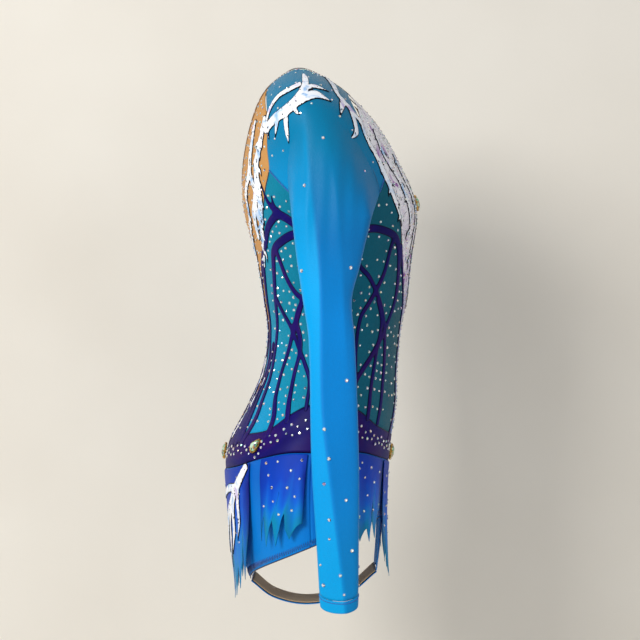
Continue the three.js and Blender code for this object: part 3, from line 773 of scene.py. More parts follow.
def distance_to_line(x, y, line, half):
    """Signed distance to a line whose half width changes along it, negative inside."""
    nearest = np.full(x.shape, 1e3)
    for k in range(len(line) - 1):
        run = line[k + 1] - line[k]
        t = np.clip(((x - line[k][0]) * run[0] + (y - line[k][1]) * run[1]) / max(run @ run, 1e-9), 0, 1)
        away = np.hypot(x - line[k][0] - t * run[0], y - line[k][1] - t * run[1])
        nearest = np.minimum(nearest, away - mix(half[k], half[k + 1], t))
    return nearest


def smooth_union(a, b, round_off):
    share = np.clip(0.5 + 0.5 * (b - a) / round_off, 0, 1)
    return mix(b, a, share) - round_off * share * (1 - share)


def stroke_field(strokes, x, y, round_off=2.5):
    """Signed distance to the joined strokes. A stroke is its widths along it and its points."""
    field = np.full(np.shape(x), 1e3)
    for widths, points in strokes:
        line, share = smooth_path(points)
        half = np.interp(share, np.linspace(0, 1, len(widths)), widths) / 2
        field = smooth_union(field, distance_to_line(x, y, line, half), round_off)
    return field


def outline_cells(strokes, cell, round_off):
    """The flat grid cells that the strokes cover, with outside corners moved onto the outline."""
    lines = np.concatenate([smooth_path(points)[0] for _, points in strokes])
    low, high = lines.min(axis=0) - 8, lines.max(axis=0) + 8
    x, y = np.meshgrid(np.arange(low[0], high[0], cell), np.arange(low[1], high[1], cell), indexing="ij")
    field = stroke_field(strokes, x, y, round_off)
    slope_x, slope_y = np.gradient(field, cell)
    steep = np.maximum(np.hypot(slope_x, slope_y), 0.5)
    inside = field < 0
    corners = inside[:-1, :-1] | inside[1:, :-1] | inside[:-1, 1:] | inside[1:, 1:]
    shift = np.where(inside, 0, field) / steep ** 2
    return x - slope_x * shift, y - slope_y * shift, np.maximum(-field, 0), corners


def make_applique(name, cells, material, side, lift, cell, thickness=0.9):
    """One cut-out laid on the body cloth. Its depth mark grows from 0 at its edge to 1 at 3 mm in."""
    x, y, depth, kept = cells
    index = -np.ones(x.shape, int)
    i, j = np.nonzero(kept)
    used = np.zeros(x.shape, bool)
    for di, dj in ((0, 0), (1, 0), (1, 1), (0, 1)):
        used[i + di, j + dj] = True
    count = used.sum()
    index[used] = np.arange(count)
    quads = np.stack([index[i, j], index[i + 1, j], index[i + 1, j + 1], index[i, j + 1]], axis=-1)
    loops = np.stack([quads, np.roll(quads, -1, axis=1)], axis=-1).reshape(-1, 2)
    directed = set(map(tuple, loops.tolist()))
    edge = np.array([pair for pair in sorted(directed) if pair[::-1] not in directed])
    rim = np.stack([edge[:, 1], edge[:, 0], edge[:, 0] + count, edge[:, 1] + count], axis=-1)
    angle, level, depth = np.degrees(x[used] / MEAN_RADIUS), y[used], depth[used]
    dome = 0.25 + (thickness - 0.25) * np.sqrt(np.clip(depth / 1.6, 0, 1))
    if callable(lift):
        lift = lift(angle, level)
    top, base = lifted(angle, level, lift + dome), lifted(angle, level, lift)
    faces = np.concatenate([quads[:, ::-1], quads + count, rim[:, ::-1]])
    mark = np.tile(np.clip(depth / 3, 0, 1), 2)
    piece = make_piece(name, np.concatenate([top, base]), faces, material, side=side, depth=mark)
    piece["flat_area"] = float(len(quads) * (cell * MM) ** 2)
    piece["flat_size"] = [float(np.ptp(x[used]) * MM), float(np.ptp(y[used]) * MM)]
    return piece


def lay_applique(piece, nodes, body):
    """Hides the CAD nodes that a cut-out stands for and puts it on its body. Its box is the sheet that
    it is cut from, narrowed where little of it is left.
    """
    stand_for(piece, nodes, body)


def thorny(widths, points, reach, spacing, seed, width=3.6):
    """A stroke with thorns that spring from it on alternate sides and lean along it."""
    picker = random.Random(seed)
    strokes = [(widths, points)]
    line = smooth_path(points)[0]
    length = np.linalg.norm(np.diff(line, axis=0), axis=1).sum()
    turn = 1
    at = spacing * 0.6
    while at < length - spacing * 0.3:
        k = min(int(at / length * (len(line) - 1)), len(line) - 2)
        along = (line[k + 1] - line[k]) / np.linalg.norm(line[k + 1] - line[k])
        out = np.array([-along[1], along[0]]) * turn
        size = reach * picker.uniform(0.6, 1.15)
        bend = line[k] + out * size * 0.55 + along * size * 0.25
        tip = line[k] + out * size * 0.8 + along * size * picker.uniform(0.6, 1.0)
        thorn = [(math.degrees(p[0] / MEAN_RADIUS), p[1]) for p in (line[k], bend, tip)]
        strokes.append(((width, width * 0.7, 0.4), thorn))
        at += spacing * picker.uniform(0.75, 1.3)
        turn = -turn
    return strokes


def bolder(strokes, factor):
    """The same strokes with all their widths multiplied."""
    return [(tuple(width * factor for width in widths), points) for widths, points in strokes]


BACK_LATTICE = bolder([
    ((1, 4, 7), [(136, -118), (132, -135), (125, -148)]),
    ((1, 4, 7), [(128, -130), (127, -140), (125, -148)]),
    ((8, 8, 7, 7), [(125, -148), (118, -154), (112, -161), (100, -168)]),
    ((8, 7, 6, 3), [(125, -148), (136, -161), (144, -178), (154, -193), (164, -218), (171, -250)]),
    ((7, 8, 7, 7, 8), [
        (92, -176), (113, -170), (127, -177), (136, -186), (139, -200), (143, -235), (147, -281),
        (147, -314), (145, -342), (143, -366), (146, -388),
    ]),
    ((6, 5, 5), [(133, -188), (127, -214), (119, -231), (109, -240), (98, -262), (91, -300), (90, -348)]),
    ((6, 8, 8), [(113, -236), (120, -253), (125, -269)]),
    ((7, 6, 6, 7), [(125, -266), (129, -290), (133, -316), (131, -337), (125, -360), (124, -378)]),
    ((7, 6, 6, 7), [(122, -262), (117, -285), (119, -316), (117, -338), (113, -362)]),
    ((6, 5, 5), [
        (142, -235), (135, -252), (128, -266), (119, -287), (111, -304), (104, -322), (101, -350),
    ]),
], 1.2)
BACK_STREAKS = bolder([
    ((6, 5, 4, 5, 6), [(154, -196), (158, -230), (160, -270), (157, -300), (158, -340), (153, -384)]),
    ((3, 5, 3), [(165, -222), (168, -262), (166, -300), (170, -330)]),
    ((5, 4, 6), [(152, -286), (153, -320), (152, -352), (149, -384)]),
    ((4, 6, 8), [(166, -330), (163, -356), (160, -388)]),
    ((3, 5, 7), [(174, -300), (174, -340), (172, -388)]),
    ((3, 5, 6), [(161, -352), (157, -370), (154, -388)]),
], 1.7)
FRONT_LATTICE = bolder([
    ((7, 7, 7, 6, 6, 5), [
        (90, -177), (76, -170), (63, -164), (54, -165), (44, -171), (38, -184), (35, -210), (36, -240),
        (44, -271), (55, -296), (66, -319), (74, -350),
    ]),
    ((5, 5, 5), [
        (45, -176), (50, -208), (56, -226), (62, -241), (68, -256), (70, -285), (68, -318), (66, -350),
    ]),
    ((5, 5, 6, 6), [
        (78, -172), (70, -202), (63, -213), (55, -232), (48, -252),
        (43, -271), (40, -305), (41, -340), (42, -366),
    ]),
    ((5, 5, 6), [(54, -238), (48, -262), (50, -290), (53, -330), (53, -360)]),
    ((4, 4, 5, 6), [(36, -180), (26, -222), (17, -266), (17, -315), (18, -360), (22, -388)]),
], 1.2)
SHOULDER_BRANCH = bolder([
    ((11, 10, 9, 8), [(88, -9), (92, -24), (101, -38), (111, -47), (122, -54), (130, -62)]),
    ((9, 8, 7, 1), [(100, -38), (90, -33), (81, -31), (70, -38)]),
    ((6, 5, 4, 1), [(96, -27), (84, -21), (76, -22), (67, -26)]),
    ((7, 6, 4, 1), [(104, -41), (102, -48), (99, -52)]),
    ((7, 6, 5, 1), [(111, -50), (111, -62), (110, -79)]),
    ((6, 5, 3, 1), [(119, -55), (120, -64), (121, -72)]),
    ((5, 4, 3, 1), [(127, -60), (128, -66), (127, -73)]),
    ((5, 5, 5, 4), [(96, -18), (108, -24), (120, -31), (128, -44), (131, -60)]),
], 1.4)
NECK_BRANCH = bolder(thorny(
    (8, 7, 6, 5), [(46, -6), (54, -17), (58, -28), (55, -40), (52, -50)], 7, 11, 5,
) + [
    ((6, 5, 1), [(56, -34), (62, -42), (67, -52)]),
    ((6, 5, 4, 1), [(54, -42), (56, -56), (59, -68), (66, -75)]),
    ((5, 4, 1), [(52, -48), (50, -58), (52, -68)]),
], 1.6)
BACK_BRANCH = bolder(
    thorny(
        (5, 6, 6, 5), [(133, -52), (136, -74), (141, -97), (141, -118), (145, -134), (144, -150)],
        9, 13, 11,
    )
    + thorny(
        (4, 6, 6, 4, 3), [(147, -52), (149, -80), (151, -104), (158, -122), (157, -140), (160, -160)],
        9, 13, 12,
    )
    + thorny((4, 5, 6, 4), [(151, -100), (146, -114), (143, -128), (149, -146), (151, -170)], 7, 14, 13)
    + thorny((3, 5, 4), [(158, -150), (166, -172), (170, -205), (169, -236)], 8, 12, 14)
    + thorny((4, 5, 6, 5, 3), [(137, -72), (140, -102), (139, -132), (144, -164), (152, -200)], 11, 8, 15),
    1.9,
)
LOW_BACK_BRANCH = bolder(
    thorny((3, 5, 4, 3), [(169, -226), (173, -262), (171, -296), (166, -318)], 8, 12, 21)
    + thorny((3, 5, 5, 4), [(164, -300), (167, -330), (164, -356), (168, -384)], 9, 12, 22)
    + thorny((3, 4, 4), [(156, -322), (161, -350), (156, -376)], 7, 12, 23),
    1.9,
)
FRONT_BRANCH = bolder(
    thorny(
        (4, 6, 7, 5, 1), [(49, -52), (51, -70), (48, -92), (47, -112), (45, -136), (40, -160)], 8, 13, 31,
    )
    + thorny((3, 6, 6, 1), [(38, -62), (40, -84), (36, -110), (34, -138), (30, -168)], 9, 14, 32)
    + thorny((3, 6, 5, 1), [(24, -84), (27, -106), (24, -136), (20, -170), (21, -204)], 10, 15, 33)
    + thorny((3, 5, 4, 1), [(10, -104), (12, -130), (9, -165), (12, -205), (8, -245)], 9, 16, 34),
    1.3,
)
PETAL_FLAMES = bolder([
    ((7, 9, 9, 8, 7, 1), [(135, -412), (141, -426), (148, -440), (155, -458), (161, -484), (165, -514)]),
    ((7, 7, 6, 1), [(145, -434), (154, -436), (163, -441), (173, -452)]),
    ((7, 8, 7, 1), [(153, -450), (161, -462), (169, -484), (173, -508)]),
    ((6, 7, 6, 1), [(148, -438), (151, -458), (151, -480), (155, -504)]),
    ((5, 6, 5, 1), [(142, -428), (144, -448), (143, -468), (146, -488)]),
    ((5, 6, 1), [(159, -470), (158, -494), (161, -518)]),
], 1.35)


def on_back_petal(angle, level):
    return petal_lift("back", angle, level) + 0.6


def build_appliques():
    for name, strokes, material, slot, raised in (
        ("back_lattice", BACK_LATTICE, satin, "indigo_foil", 0.0),
        ("back_streaks", BACK_STREAKS, satin, "indigo_foil", 0.1),
        ("front_lattice", FRONT_LATTICE, satin, "indigo_foil", 0.0),
        ("shoulder_branch", SHOULDER_BRANCH, branch_paint, "white_paint", 0.0),
        ("neck_branch", NECK_BRANCH, branch_paint, "white_paint", 0.1),
        ("back_branch", BACK_BRANCH, branch_paint, "white_paint", 0.0),
        ("low_back_branch", LOW_BACK_BRANCH, branch_paint, "white_paint", 0.0),
        ("front_branch", FRONT_BRANCH, branch_paint, "white_paint", 0.0),
        ("petal_flames", PETAL_FLAMES, branch_paint, "white_paint", 0.0),
    ):
        painted = material is branch_paint
        cell = PAINT_CELL if painted else TRIM_CELL
        cells = outline_cells(strokes, cell, 1.2 if painted else 3.0)
        for word, side in SIDES:
            lift = on_back_petal if name == "petal_flames" else TRIM_LIFT + raised
            piece = make_applique(f"{word}_{name}_cloth", cells, material, side, lift, cell)
            stands_for = [f"{word}_{name}"] if f"{word}_{name}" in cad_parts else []
            body = f"{word}_back_petal_body" if name == "petal_flames" else "garment"
            lay_applique(piece, stands_for, body)


# ---------- Sleeves ----------

# The hanging sleeve's section: level, centre x and y, half thickness, half depth.
SLEEVE = (
    (-570, -164, -22, 9, 18), (-500, -163, -20.4, 9, 20.4), (-402, -162, -17.5, 9.5, 23.6),
    (-280, -160, -14, 10, 23), (-238, -158, -9.5, 12, 24.5), (-205, -157, -11, 14, 31),
    (-155, -157, -14, 15.5, 40),
)
sleeve_x, sleeve_y, sleeve_thick, sleeve_deep = (
    smooth_curve(*((row[0], row[column]) for row in SLEEVE)) for column in (1, 2, 3, 4)
)
HANG_LEVEL = -155
SLEEVE_INSET = 0.6  # the hanging tube's own section is taken this far inside its cloth
HEM_WIDTH = 12
HAND_POINT = 7
SLEEVE_DROP = -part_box("right_cuff_hem")[0][2] / MM - HAND_POINT
SLEEVE_SIDES = 144
HALF_TURN = SLEEVE_SIDES // 2
CAP_FRONT_FEET, CAP_BACK_FEET = 7, 11  # columns of the cap before and after the arch
crease_y = smooth_curve(
    (-565, -30), (-522, -26), (-423, -14), (-346, -5.5), (-210, -3.3), (-110, 5), (-60, 9),
)
ridge_y = smooth_curve((-250, 8), (-170, 11), (-110, 12), (-40, 14))
front_fold_y = smooth_curve((-340, -30), (-250, -26), (-170, -22), (-110, -16), (-60, -8))


def cuff_edge(turn):
    return -SLEEVE_DROP - HAND_POINT * np.sin(turn * 2 * math.pi)


def hanging_point(turn, level, out):
    turn = np.asarray(turn, float) * 2 * math.pi
    flat = np.sign(np.sin(turn)) * np.abs(np.sin(turn)) ** 0.8
    x = sleeve_x(level) * GIRTH_GRADE - (sleeve_thick(level) + out) * flat
    y = sleeve_y(level) * GIRTH_GRADE - (sleeve_deep(level) + out) * np.cos(turn)
    return np.stack([x, y, level + x * 0], axis=-1)


def armhole_point(turn, lift):
    angle = ARMHOLE_ANGLE - ARMHOLE_HALF * np.cos(np.asarray(turn) * 2 * math.pi)
    upper = np.asarray(turn) <= 0.5
    level = np.where(upper, armhole_edge(angle, ARMHOLE_ARCH), armhole_edge(angle, -ARMHOLE_DIP))
    return lifted(angle, level, lift)


def sleeve_folds(y, z, turn, down):
    """How far the hanging cloth stands out from the plain tube: a long crease, folds and drag lines."""
    outside = np.clip(np.sin(turn * 2 * math.pi) * 3, 0, 1)
    crease = 3.4 * np.exp(-soft_gap(y - crease_y(z), 1.2) / 9) * np.clip((-z - 150) / 80, 0, 1)
    fold = 2.2 * np.exp(-soft_gap(y - front_fold_y(z), 2.0) / 6) * rise_and_fall(-z, 60, 120, 250, 330)
    ridge = 1.8 * np.exp(-soft_gap(y - ridge_y(z), 1.5) / 5) * rise_and_fall(-z, 40, 80, 150, 230)
    drag = 0.35 * np.sin(y * 0.42 + z * 0.02) * np.exp(-((z + 130) / 60) ** 2)
    ripple = 0.3 * np.sin(z * 0.045 + y * 0.1 + 2 * np.sin(z * 0.013)) * down
    return outside * (crease + fold + ridge + drag) + ripple


def soft_gap(distance, round_off):
    """The size of a distance, with its corner at 0 rounded off."""
    return np.sqrt(distance ** 2 + round_off ** 2) - round_off


def rise_and_fall(value, rise, full, ease, gone):
    """0 to 1 and back: rises between the first two values and falls between the last two."""
    return np.clip((value - rise) / (full - rise), 0, 1) * np.clip((gone - value) / (gone - ease), 0, 1)


def fold_side(turn):
    """A fold stands out on the outer half of the sleeve and, weaker, the other way on the inner half."""
    return np.where(np.sin(turn * 2 * math.pi) >= 0, 1, -0.4)[None, :]


def sleeve_tube(lift):
    """Rows of points from the armhole to the cuff hem. The outer half leaves the cap without a break."""
    turn = np.arange(SLEEVE_SIDES) / SLEEVE_SIDES
    rows = []
    start = armhole_point(turn, lift)
    end = hanging_point(turn, HANG_LEVEL, lift - SLEEVE_INSET)
    chord = end - start
    reach = np.linalg.norm(chord, axis=1, keepdims=True)
    cap = cap_grid(lift)[2]
    fall = (cap[-1] - cap[-2])[CAP_FRONT_FEET:CAP_FRONT_FEET + HALF_TURN + 1]
    leaving = chord / reach
    leaving[:HALF_TURN + 1] = fall / np.linalg.norm(fall, axis=1, keepdims=True)
    outward = np.maximum(0, np.sin(turn * 2 * math.pi))[:, None] ** 0.7
    leaving = mix(chord / reach, leaving, outward) * reach
    arriving = mix(chord / reach, np.array([0, 0, -1.0]), outward) * reach
    for t in np.linspace(0, 1, 40)[:-1]:
        eased = t * t * (3 - 2 * t)
        bend = leaving * t * (1 - t) ** 2 - arriving * t * t * (1 - t)
        rows.append(mix(start, end, eased) + bend)
    for t in np.linspace(0, 1, 120):
        level = mix(HANG_LEVEL, cuff_edge(turn) + HEM_WIDTH + 0.4, t)
        rows.append(hanging_point(turn, level, lift - SLEEVE_INSET))
    grid = np.array(rows)
    down = np.clip((-grid[..., 2] - 120) / 120, 0, 1)
    stand = sleeve_folds(grid[..., 1], grid[..., 2], turn[None, :] + grid[..., 2] * 0, down)
    near = np.clip(np.arange(len(rows)) / 12, 0, 1)[:, None]
    grid[..., 0] -= stand * near * fold_side(turn)
    return grid


def cap_grid(lift):
    """The cap over the shoulder, from the neckline to the raglan seam and the arch of the armhole."""
    arch = ARMHOLE_ANGLE - ARMHOLE_HALF * np.cos(np.linspace(0, math.pi, SLEEVE_SIDES // 2 + 1))
    first, last = float(front_seam(RAGLAN_FRONT_LEVEL)), float(back_seam(RAGLAN_BACK_LEVEL))
    front_feet = np.linspace(first, arch[0], CAP_FRONT_FEET + 1)[:-1]
    feet = np.concatenate([front_feet, arch, np.linspace(arch[-1], last, CAP_BACK_FEET + 1)[1:]])
    heads = np.linspace(front_seam(-20), back_seam(-12), len(feet))
    share = np.linspace(0, 1, len(feet))
    down, column = np.meshgrid(np.linspace(0, 1, 34), np.arange(len(feet)), indexing="ij")
    s = share[column]
    front_bow = front_seam(mix(-20, RAGLAN_FRONT_LEVEL, down)) - mix(heads[0], feet[0], down)
    back_bow = back_seam(mix(-12, RAGLAN_BACK_LEVEL, down)) - mix(heads[-1], feet[-1], down)
    angle = mix(heads[column], feet[column], down) + front_bow * (1 - s) ** 2 + back_bow * s ** 2
    level = mix(neckline(angle), raglan_edge(feet[column], ARMHOLE_ARCH), down)
    return angle, level, lifted(angle, level, lift)


def sleeve_faces(cap_shape, tube_shape):
    """Faces of the cap and the tube as one skin: at the arch the tube takes the cap's points."""
    (cap_rows, cap_columns), (rows, columns) = cap_shape, tube_shape
    cap_count, count = cap_rows * cap_columns, rows * columns
    first = 2 * cap_count
    foot = np.arange(cap_columns) + (cap_rows - 1) * cap_columns
    left = np.arange(cap_rows) * cap_columns
    top = first + np.arange(columns)
    faces = np.concatenate([
        grid_faces(cap_rows, cap_columns, 0),
        grid_faces(cap_rows, cap_columns, cap_count)[:, ::-1],
        rim_strip(np.arange(cap_columns), cap_count, True),
        rim_strip(left, cap_count, False),
        rim_strip(left + cap_columns - 1, cap_count, True),
        rim_strip(foot[:CAP_FRONT_FEET + 1], cap_count, False),
        rim_strip(foot[CAP_FRONT_FEET + HALF_TURN:], cap_count, False),
        grid_faces(rows, columns, first, wrap=True),
        grid_faces(rows, columns, first + count, wrap=True)[:, ::-1],
        rim_strip(first + np.arange(columns) + (rows - 1) * columns, count, False, closed=True),
        rim_strip(np.append(top[HALF_TURN:], top[0]), count, True),
    ])
    shared = np.arange(HALF_TURN + 1)
    moved = np.arange(2 * (cap_count + count))
    moved[first + shared] = foot[CAP_FRONT_FEET + shared]
    moved[first + count + shared] = foot[CAP_FRONT_FEET + shared] + cap_count
    return moved[faces]


def build_sleeves():
    for word, side in SIDES:
        cap_outer, cap_inner = cap_grid(CLOTH_OUTSIDE)[2], cap_grid(CLOTH_INSIDE)[2]
        tube_outer, tube_inner = sleeve_tube(CLOTH_OUTSIDE), sleeve_tube(CLOTH_INSIDE)
        grids = (cap_outer, cap_inner, tube_outer, tube_inner)
        points = np.concatenate([grid.reshape(-1, 3) for grid in grids])
        faces = sleeve_faces(cap_outer.shape[:2], tube_outer.shape[:2])
        used, faces = np.unique(faces, return_inverse=True)
        points = points[used]
        piece = make_piece(
            f"{word}_sleeve_net", points, faces.reshape(-1, 4), sleeve_cloth, side=side,
            across=points[:, 1] * MM, along=points[:, 2] * MM, **sleeve_marks(points),
        )
        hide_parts(f"{word}_sleeve_cap", f"{word}_sleeve")
        bend_at_shoulder(piece)
        build_cuff(word, side)


def sleeve_marks(points):
    """The tone that runs down the sleeve, and the fold mark: the strip behind the long crease, partly where
    the net is double and partly painted light, and a painted highlight along the ridge.
    """
    y, z = points[..., 1], points[..., 2]
    softness = np.interp(-z, [80, 220], [6, 2.5])
    # The strip behind the crease: partly the net lying double and partly painted light.
    strip = np.clip((y - crease_y(z) - 1) / softness, 0, 1) * np.clip((-z - 60) / 50, 0.35, 1)
    # A painted highlight along the ridge of the upper sleeve.
    painted_ridge_highlight = 0.55 * np.exp(-((y - ridge_y(z)) / 2.6) ** 2) * rise_and_fall(-z, 40, 80, 150, 230)
    return {"tone": np.clip((-z - 10) / 540, 0, 1), "fold": np.clip(strip + painted_ridge_highlight, 0, 1)}


def bend_at_shoulder(piece):
    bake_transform(piece)


def build_cuff(word, side):
    """The turned-up hem of the sleeve, with a row of stitches."""
    turn = np.arange(SLEEVE_SIDES) / SLEEVE_SIDES
    rows = np.linspace(0, 1, 12)[:, None]
    level = mix(cuff_edge(turn) + HEM_WIDTH, cuff_edge(turn), rows)

    def ring(out):
        grid = hanging_point(turn[None, :] + level * 0, level, out - SLEEVE_INSET)
        stand = sleeve_folds(grid[..., 1], grid[..., 2], turn[None, :] + level * 0, 1.0)
        grid[..., 0] -= stand * fold_side(turn)
        return grid
    outer, inner = ring(CLOTH_OUTSIDE + 0.25 * np.sin(rows * math.pi)), ring(CLOTH_INSIDE)
    marks = {"across": outer[..., 1] * MM, "along": outer[..., 2] * MM, **sleeve_marks(outer)}
    piece = make_shell(f"{word}_cuff_net", outer, inner, sleeve_cloth, side=side, wrap=True, **marks)
    declare(piece, f"{word}_arm", [f"{word}_cuff_hem"])
    stitches = ring(CLOTH_OUTSIDE + 0.35)[2]
    line = np.concatenate([stitches, stitches[:1]])
    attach(make_stitches(f"{word}_cuff_stitches", [line], blue_thread, side=side), f"{word}_arm")


# ---------- Threads ----------

def make_stitches(name, lines, material, radius=0.35, side=1):
    """Thin threads along lines of points in mm, as six-sided tubes."""
    vertices, faces = [], []
    for line in lines:
        line = np.asarray(line, float)
        along = np.gradient(line, axis=0)
        along /= np.maximum(np.linalg.norm(along, axis=1, keepdims=True), 1e-9)
        helper = np.where(np.abs(along[:, 2:3]) > 0.9, [[1.0, 0, 0]], [[0, 0, 1.0]])
        u = np.cross(along, helper)
        u /= np.linalg.norm(u, axis=1, keepdims=True)
        v = np.cross(along, u)
        first = sum(len(block) for block in vertices)
        turn = np.arange(6) * math.pi / 3
        ring = np.cos(turn)[None, :, None] * u[:, None] + np.sin(turn)[None, :, None] * v[:, None]
        vertices.append((line[:, None] + ring * radius).reshape(-1, 3))
        faces += grid_faces(len(line), 6, first, wrap=True)[:, ::-1].tolist()
        faces.append([first + k for k in range(6)])
        faces.append([first + (len(line) - 1) * 6 + k for k in reversed(range(6))])
    return make_piece(name, np.concatenate(vertices), faces, material, side=side)


def zigzag(angles, edge, rise, depth, lift):
    """A zigzag over an edge of the cloth: rise above the edge, depth high, one corner at each angle."""
    level = edge(angles) + rise + depth * (np.arange(len(angles)) % 2)
    return lifted(angles, level, lift)


def build_threads():
    for word, side in SIDES:
        for name, start, end in (("front", 21.0, 89.8), ("back", 90.2, 167.5)):
            angles = np.linspace(start, end, int((end - start) * 1.35))
            thread = zigzag(angles, leg_hem, 2.5, 5.0, CLOTH_OUTSIDE + 0.25)
            edge = lifted(angles, leg_hem(angles) + 0.2, CLOTH_OUTSIDE)
            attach(make_stitches(f"{word}_leg_zigzag_{name}", [thread], blue_thread, 0.4, side), "garment")
            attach(make_stitches(f"{word}_leg_edge_{name}", [edge], ink_thread, 0.55, side), "garment")
        angles = np.linspace(VEE_TOP_ANGLE, 180, 140)
        drawn = lifted(angles, neckline(angles) - 1.2, CLOTH_OUTSIDE)
        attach(make_stitches(f"{word}_neckline_edge", [drawn], dark_thread, 0.5, side), "garment")
        angles = np.linspace(140, 180, 60)
        drop = np.interp(angles, [140, 150, 180], [4, 9, 7])
        inset = lifted(angles, neckline(angles) - drop, CLOTH_OUTSIDE)
        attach(make_stitches(f"{word}_neckline_elastic_line", [inset], dark_thread, 0.6, side), "garment")
        seams = []
        for seam, low, high in ((front_seam, -384, -108), (back_seam, -384, -106)):
            level = np.linspace(low, high, 90)
            seams.append(lifted(seam(level), level, CLOTH_OUTSIDE + 0.1))
        level = np.linspace(-345, -134, 70)
        seams.append(lifted(level * 0 + SIDE_SEAM, level, CLOTH_OUTSIDE))
        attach(make_stitches(f"{word}_panel_seams", seams, ink_thread, 0.5, side), "garment")
        angles = np.linspace(114, float(back_seam(RAGLAN_BACK_LEVEL)), 40)
        back = lifted(angles, raglan_edge(angles, 0), CLOTH_OUTSIDE + 0.1)
        angles = np.linspace(float(front_seam(RAGLAN_FRONT_LEVEL)), 55, 20)
        front = lifted(angles, raglan_edge(angles, 0), CLOTH_OUTSIDE + 0.1)
        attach(make_stitches(f"{word}_raglan_seam", [back, front], blue_thread, 0.5, side), "garment")


def build_elastics():
    angles = np.linspace(0, 360, 361)[:-1]
    down = np.linspace(0, 1, 6)[:, None]
    level = neckline(angles)[None, :] - 1 - 8 * down
    angle = angles[None, :] + level * 0
    outer, inner = lifted(angle, level, -1.35), lifted(angle, level, -2.1)
    piece = make_shell("neckline_elastic_band", outer, inner, elastic_cover, wrap=True)
    declare(piece, "garment", ["neckline_elastic"])
    for word, side in SIDES:
        angles = np.linspace(HEM_TOP_ANGLE, GUSSET_BACK_ANGLE, 150)
        angle, level = column_grid(lambda a: leg_hem(a) + 9, lambda a: leg_hem(a) + 1, angles, 6)
        outer, inner = lifted(angle, level, -1.35), lifted(angle, level, -2.1)
        piece = make_shell(f"{word}_leg_elastic_band", outer, inner, elastic_cover, side=side)
        declare(piece, "garment", [f"{word}_leg_elastic"])


# ---------- Petals ----------

PETAL_SEAT = 0.8
PETAL_TOP_GAP = 1.2
PETALS = {
    # from and to angles, length, flare, lean of the point, number of feathered points, seed
    "back": (178.2, 132, 132, 4.0, 0.35, 6, 3),
    "side": (123, 93, 91, 3.0, 0.5, 4, 5),
    "front_side": (62, 29, 91, 3.0, 0.45, 4, 8),
    "front": (25.5, 1.2, 124, 4.0, 0.6, 4, 9),
}
PETAL_HANG = {"back": 18, "side": 4, "front_side": 3, "front": 8}  # how far the tips hang clear, mm
PETAL_SWEEP = {"back": 0, "side": 6.5, "front_side": 5, "front": 1.5}  # how far the tips lean back, degrees


def petal_points(s, seed, teeth):
    """How far each column reaches, 0 to 1: feathered points of uneven length, steep on their back side."""
    picker = random.Random(seed)
    between = [(k + picker.uniform(-0.22, 0.22)) / teeth for k in range(1, teeth)]
    starts = np.sort([0.0] + between + [1.0001])
    depth = np.array([picker.uniform(0.14, 0.34) for _ in range(teeth)])
    k = np.clip(np.searchsorted(starts, s, side="right") - 1, 0, teeth - 1)
    inside = (s - starts[k]) / (starts[k + 1] - starts[k])
    peak = 0.3
    tooth = np.where(inside < peak, inside / peak, ((1 - inside) / (1 - peak)) ** 1.5)
    return 1 - depth[k] * (1 - tooth)


def petal_waves(kind, angle, level):
    """The share of the way down the petal at a place, its soft waves and the folds at its two edges."""
    start, end, length, _, _, _, seed = PETALS[kind]
    s = (angle - start) / (end - start)
    t = np.clip((band_bottom(angle) - PETAL_TOP_GAP - level) / length, 0, 1)
    phase = random.Random(seed).uniform(0, 6)
    waves = np.sin(s * 10 + phase + t * 1.2) + 0.4 * np.sin(s * 21 + phase * 2 + t * 2)
    edge = np.exp(-((1 - s) / 0.09) ** 2) + 0.4 * np.exp(-(s / 0.06) ** 2)
    return t, waves, edge


def petal_lift(kind, angle, level):
    """How far the petal's inner face stands off the body: it flares as it falls, in soft waves."""
    t, waves, edge = petal_waves(kind, angle, level)
    flare = PETALS[kind][3]
    hang = PETAL_HANG[kind] * t ** 3
    lift = CLOTH_OUTSIDE + 0.6 + PETAL_SEAT + (flare + 1) * t + hang + 0.8 * waves * t ** 0.8
    return np.maximum(lift - 1.4 * edge * t, CLOTH_OUTSIDE + 0.9 + t)


def build_petal(kind, word, side):
    start, end, length, _, lean, teeth, seed = PETALS[kind]
    columns, rows = 130, 64
    t, s = np.meshgrid(np.linspace(0, 1, rows), np.linspace(0, 1, columns), indexing="ij")
    inset = 1 - 0.1 * t ** 2
    swept = PETAL_SWEEP[kind] * t ** 2.4 * np.sin(np.clip(s, 0, 1) * math.pi) ** 0.5
    angle = mix(start, end, 0.5 + (s - 0.5) * inset) + swept
    reach = (1 - 0.3 * np.abs(s - lean) ** 1.3) * petal_points(s, seed, teeth)
    level = band_bottom(angle) - PETAL_TOP_GAP - t * length * reach
    lift = petal_lift(kind, angle, level)
    outer, inner = lifted(angle, level, lift + 0.5), lifted(angle, level, lift)
    _, waves, edge = petal_waves(kind, angle, level)
    # The fold mark is painted shade, darker in the troughs of the waves and along the folded edges.
    fold = 0.3 * np.clip(-waves, 0, 1) * t ** 0.5 + edge * np.clip(t * 3, 0.3, 1)
    marks = cloth_marks(angle, level, t)
    marks["fold"] = np.clip(fold, 0, 1)
    name = f"{word}_{kind}_petal"
    piece = make_shell(f"{name}_chiffon", outer, inner, chiffon, side=side, **marks)
    return declare(piece, f"{name}_body", [name])


def build_petals():
    for word, side in SIDES:
        for kind in PETALS:
            build_petal(kind, word, side)


# ---------- Crystals ----------

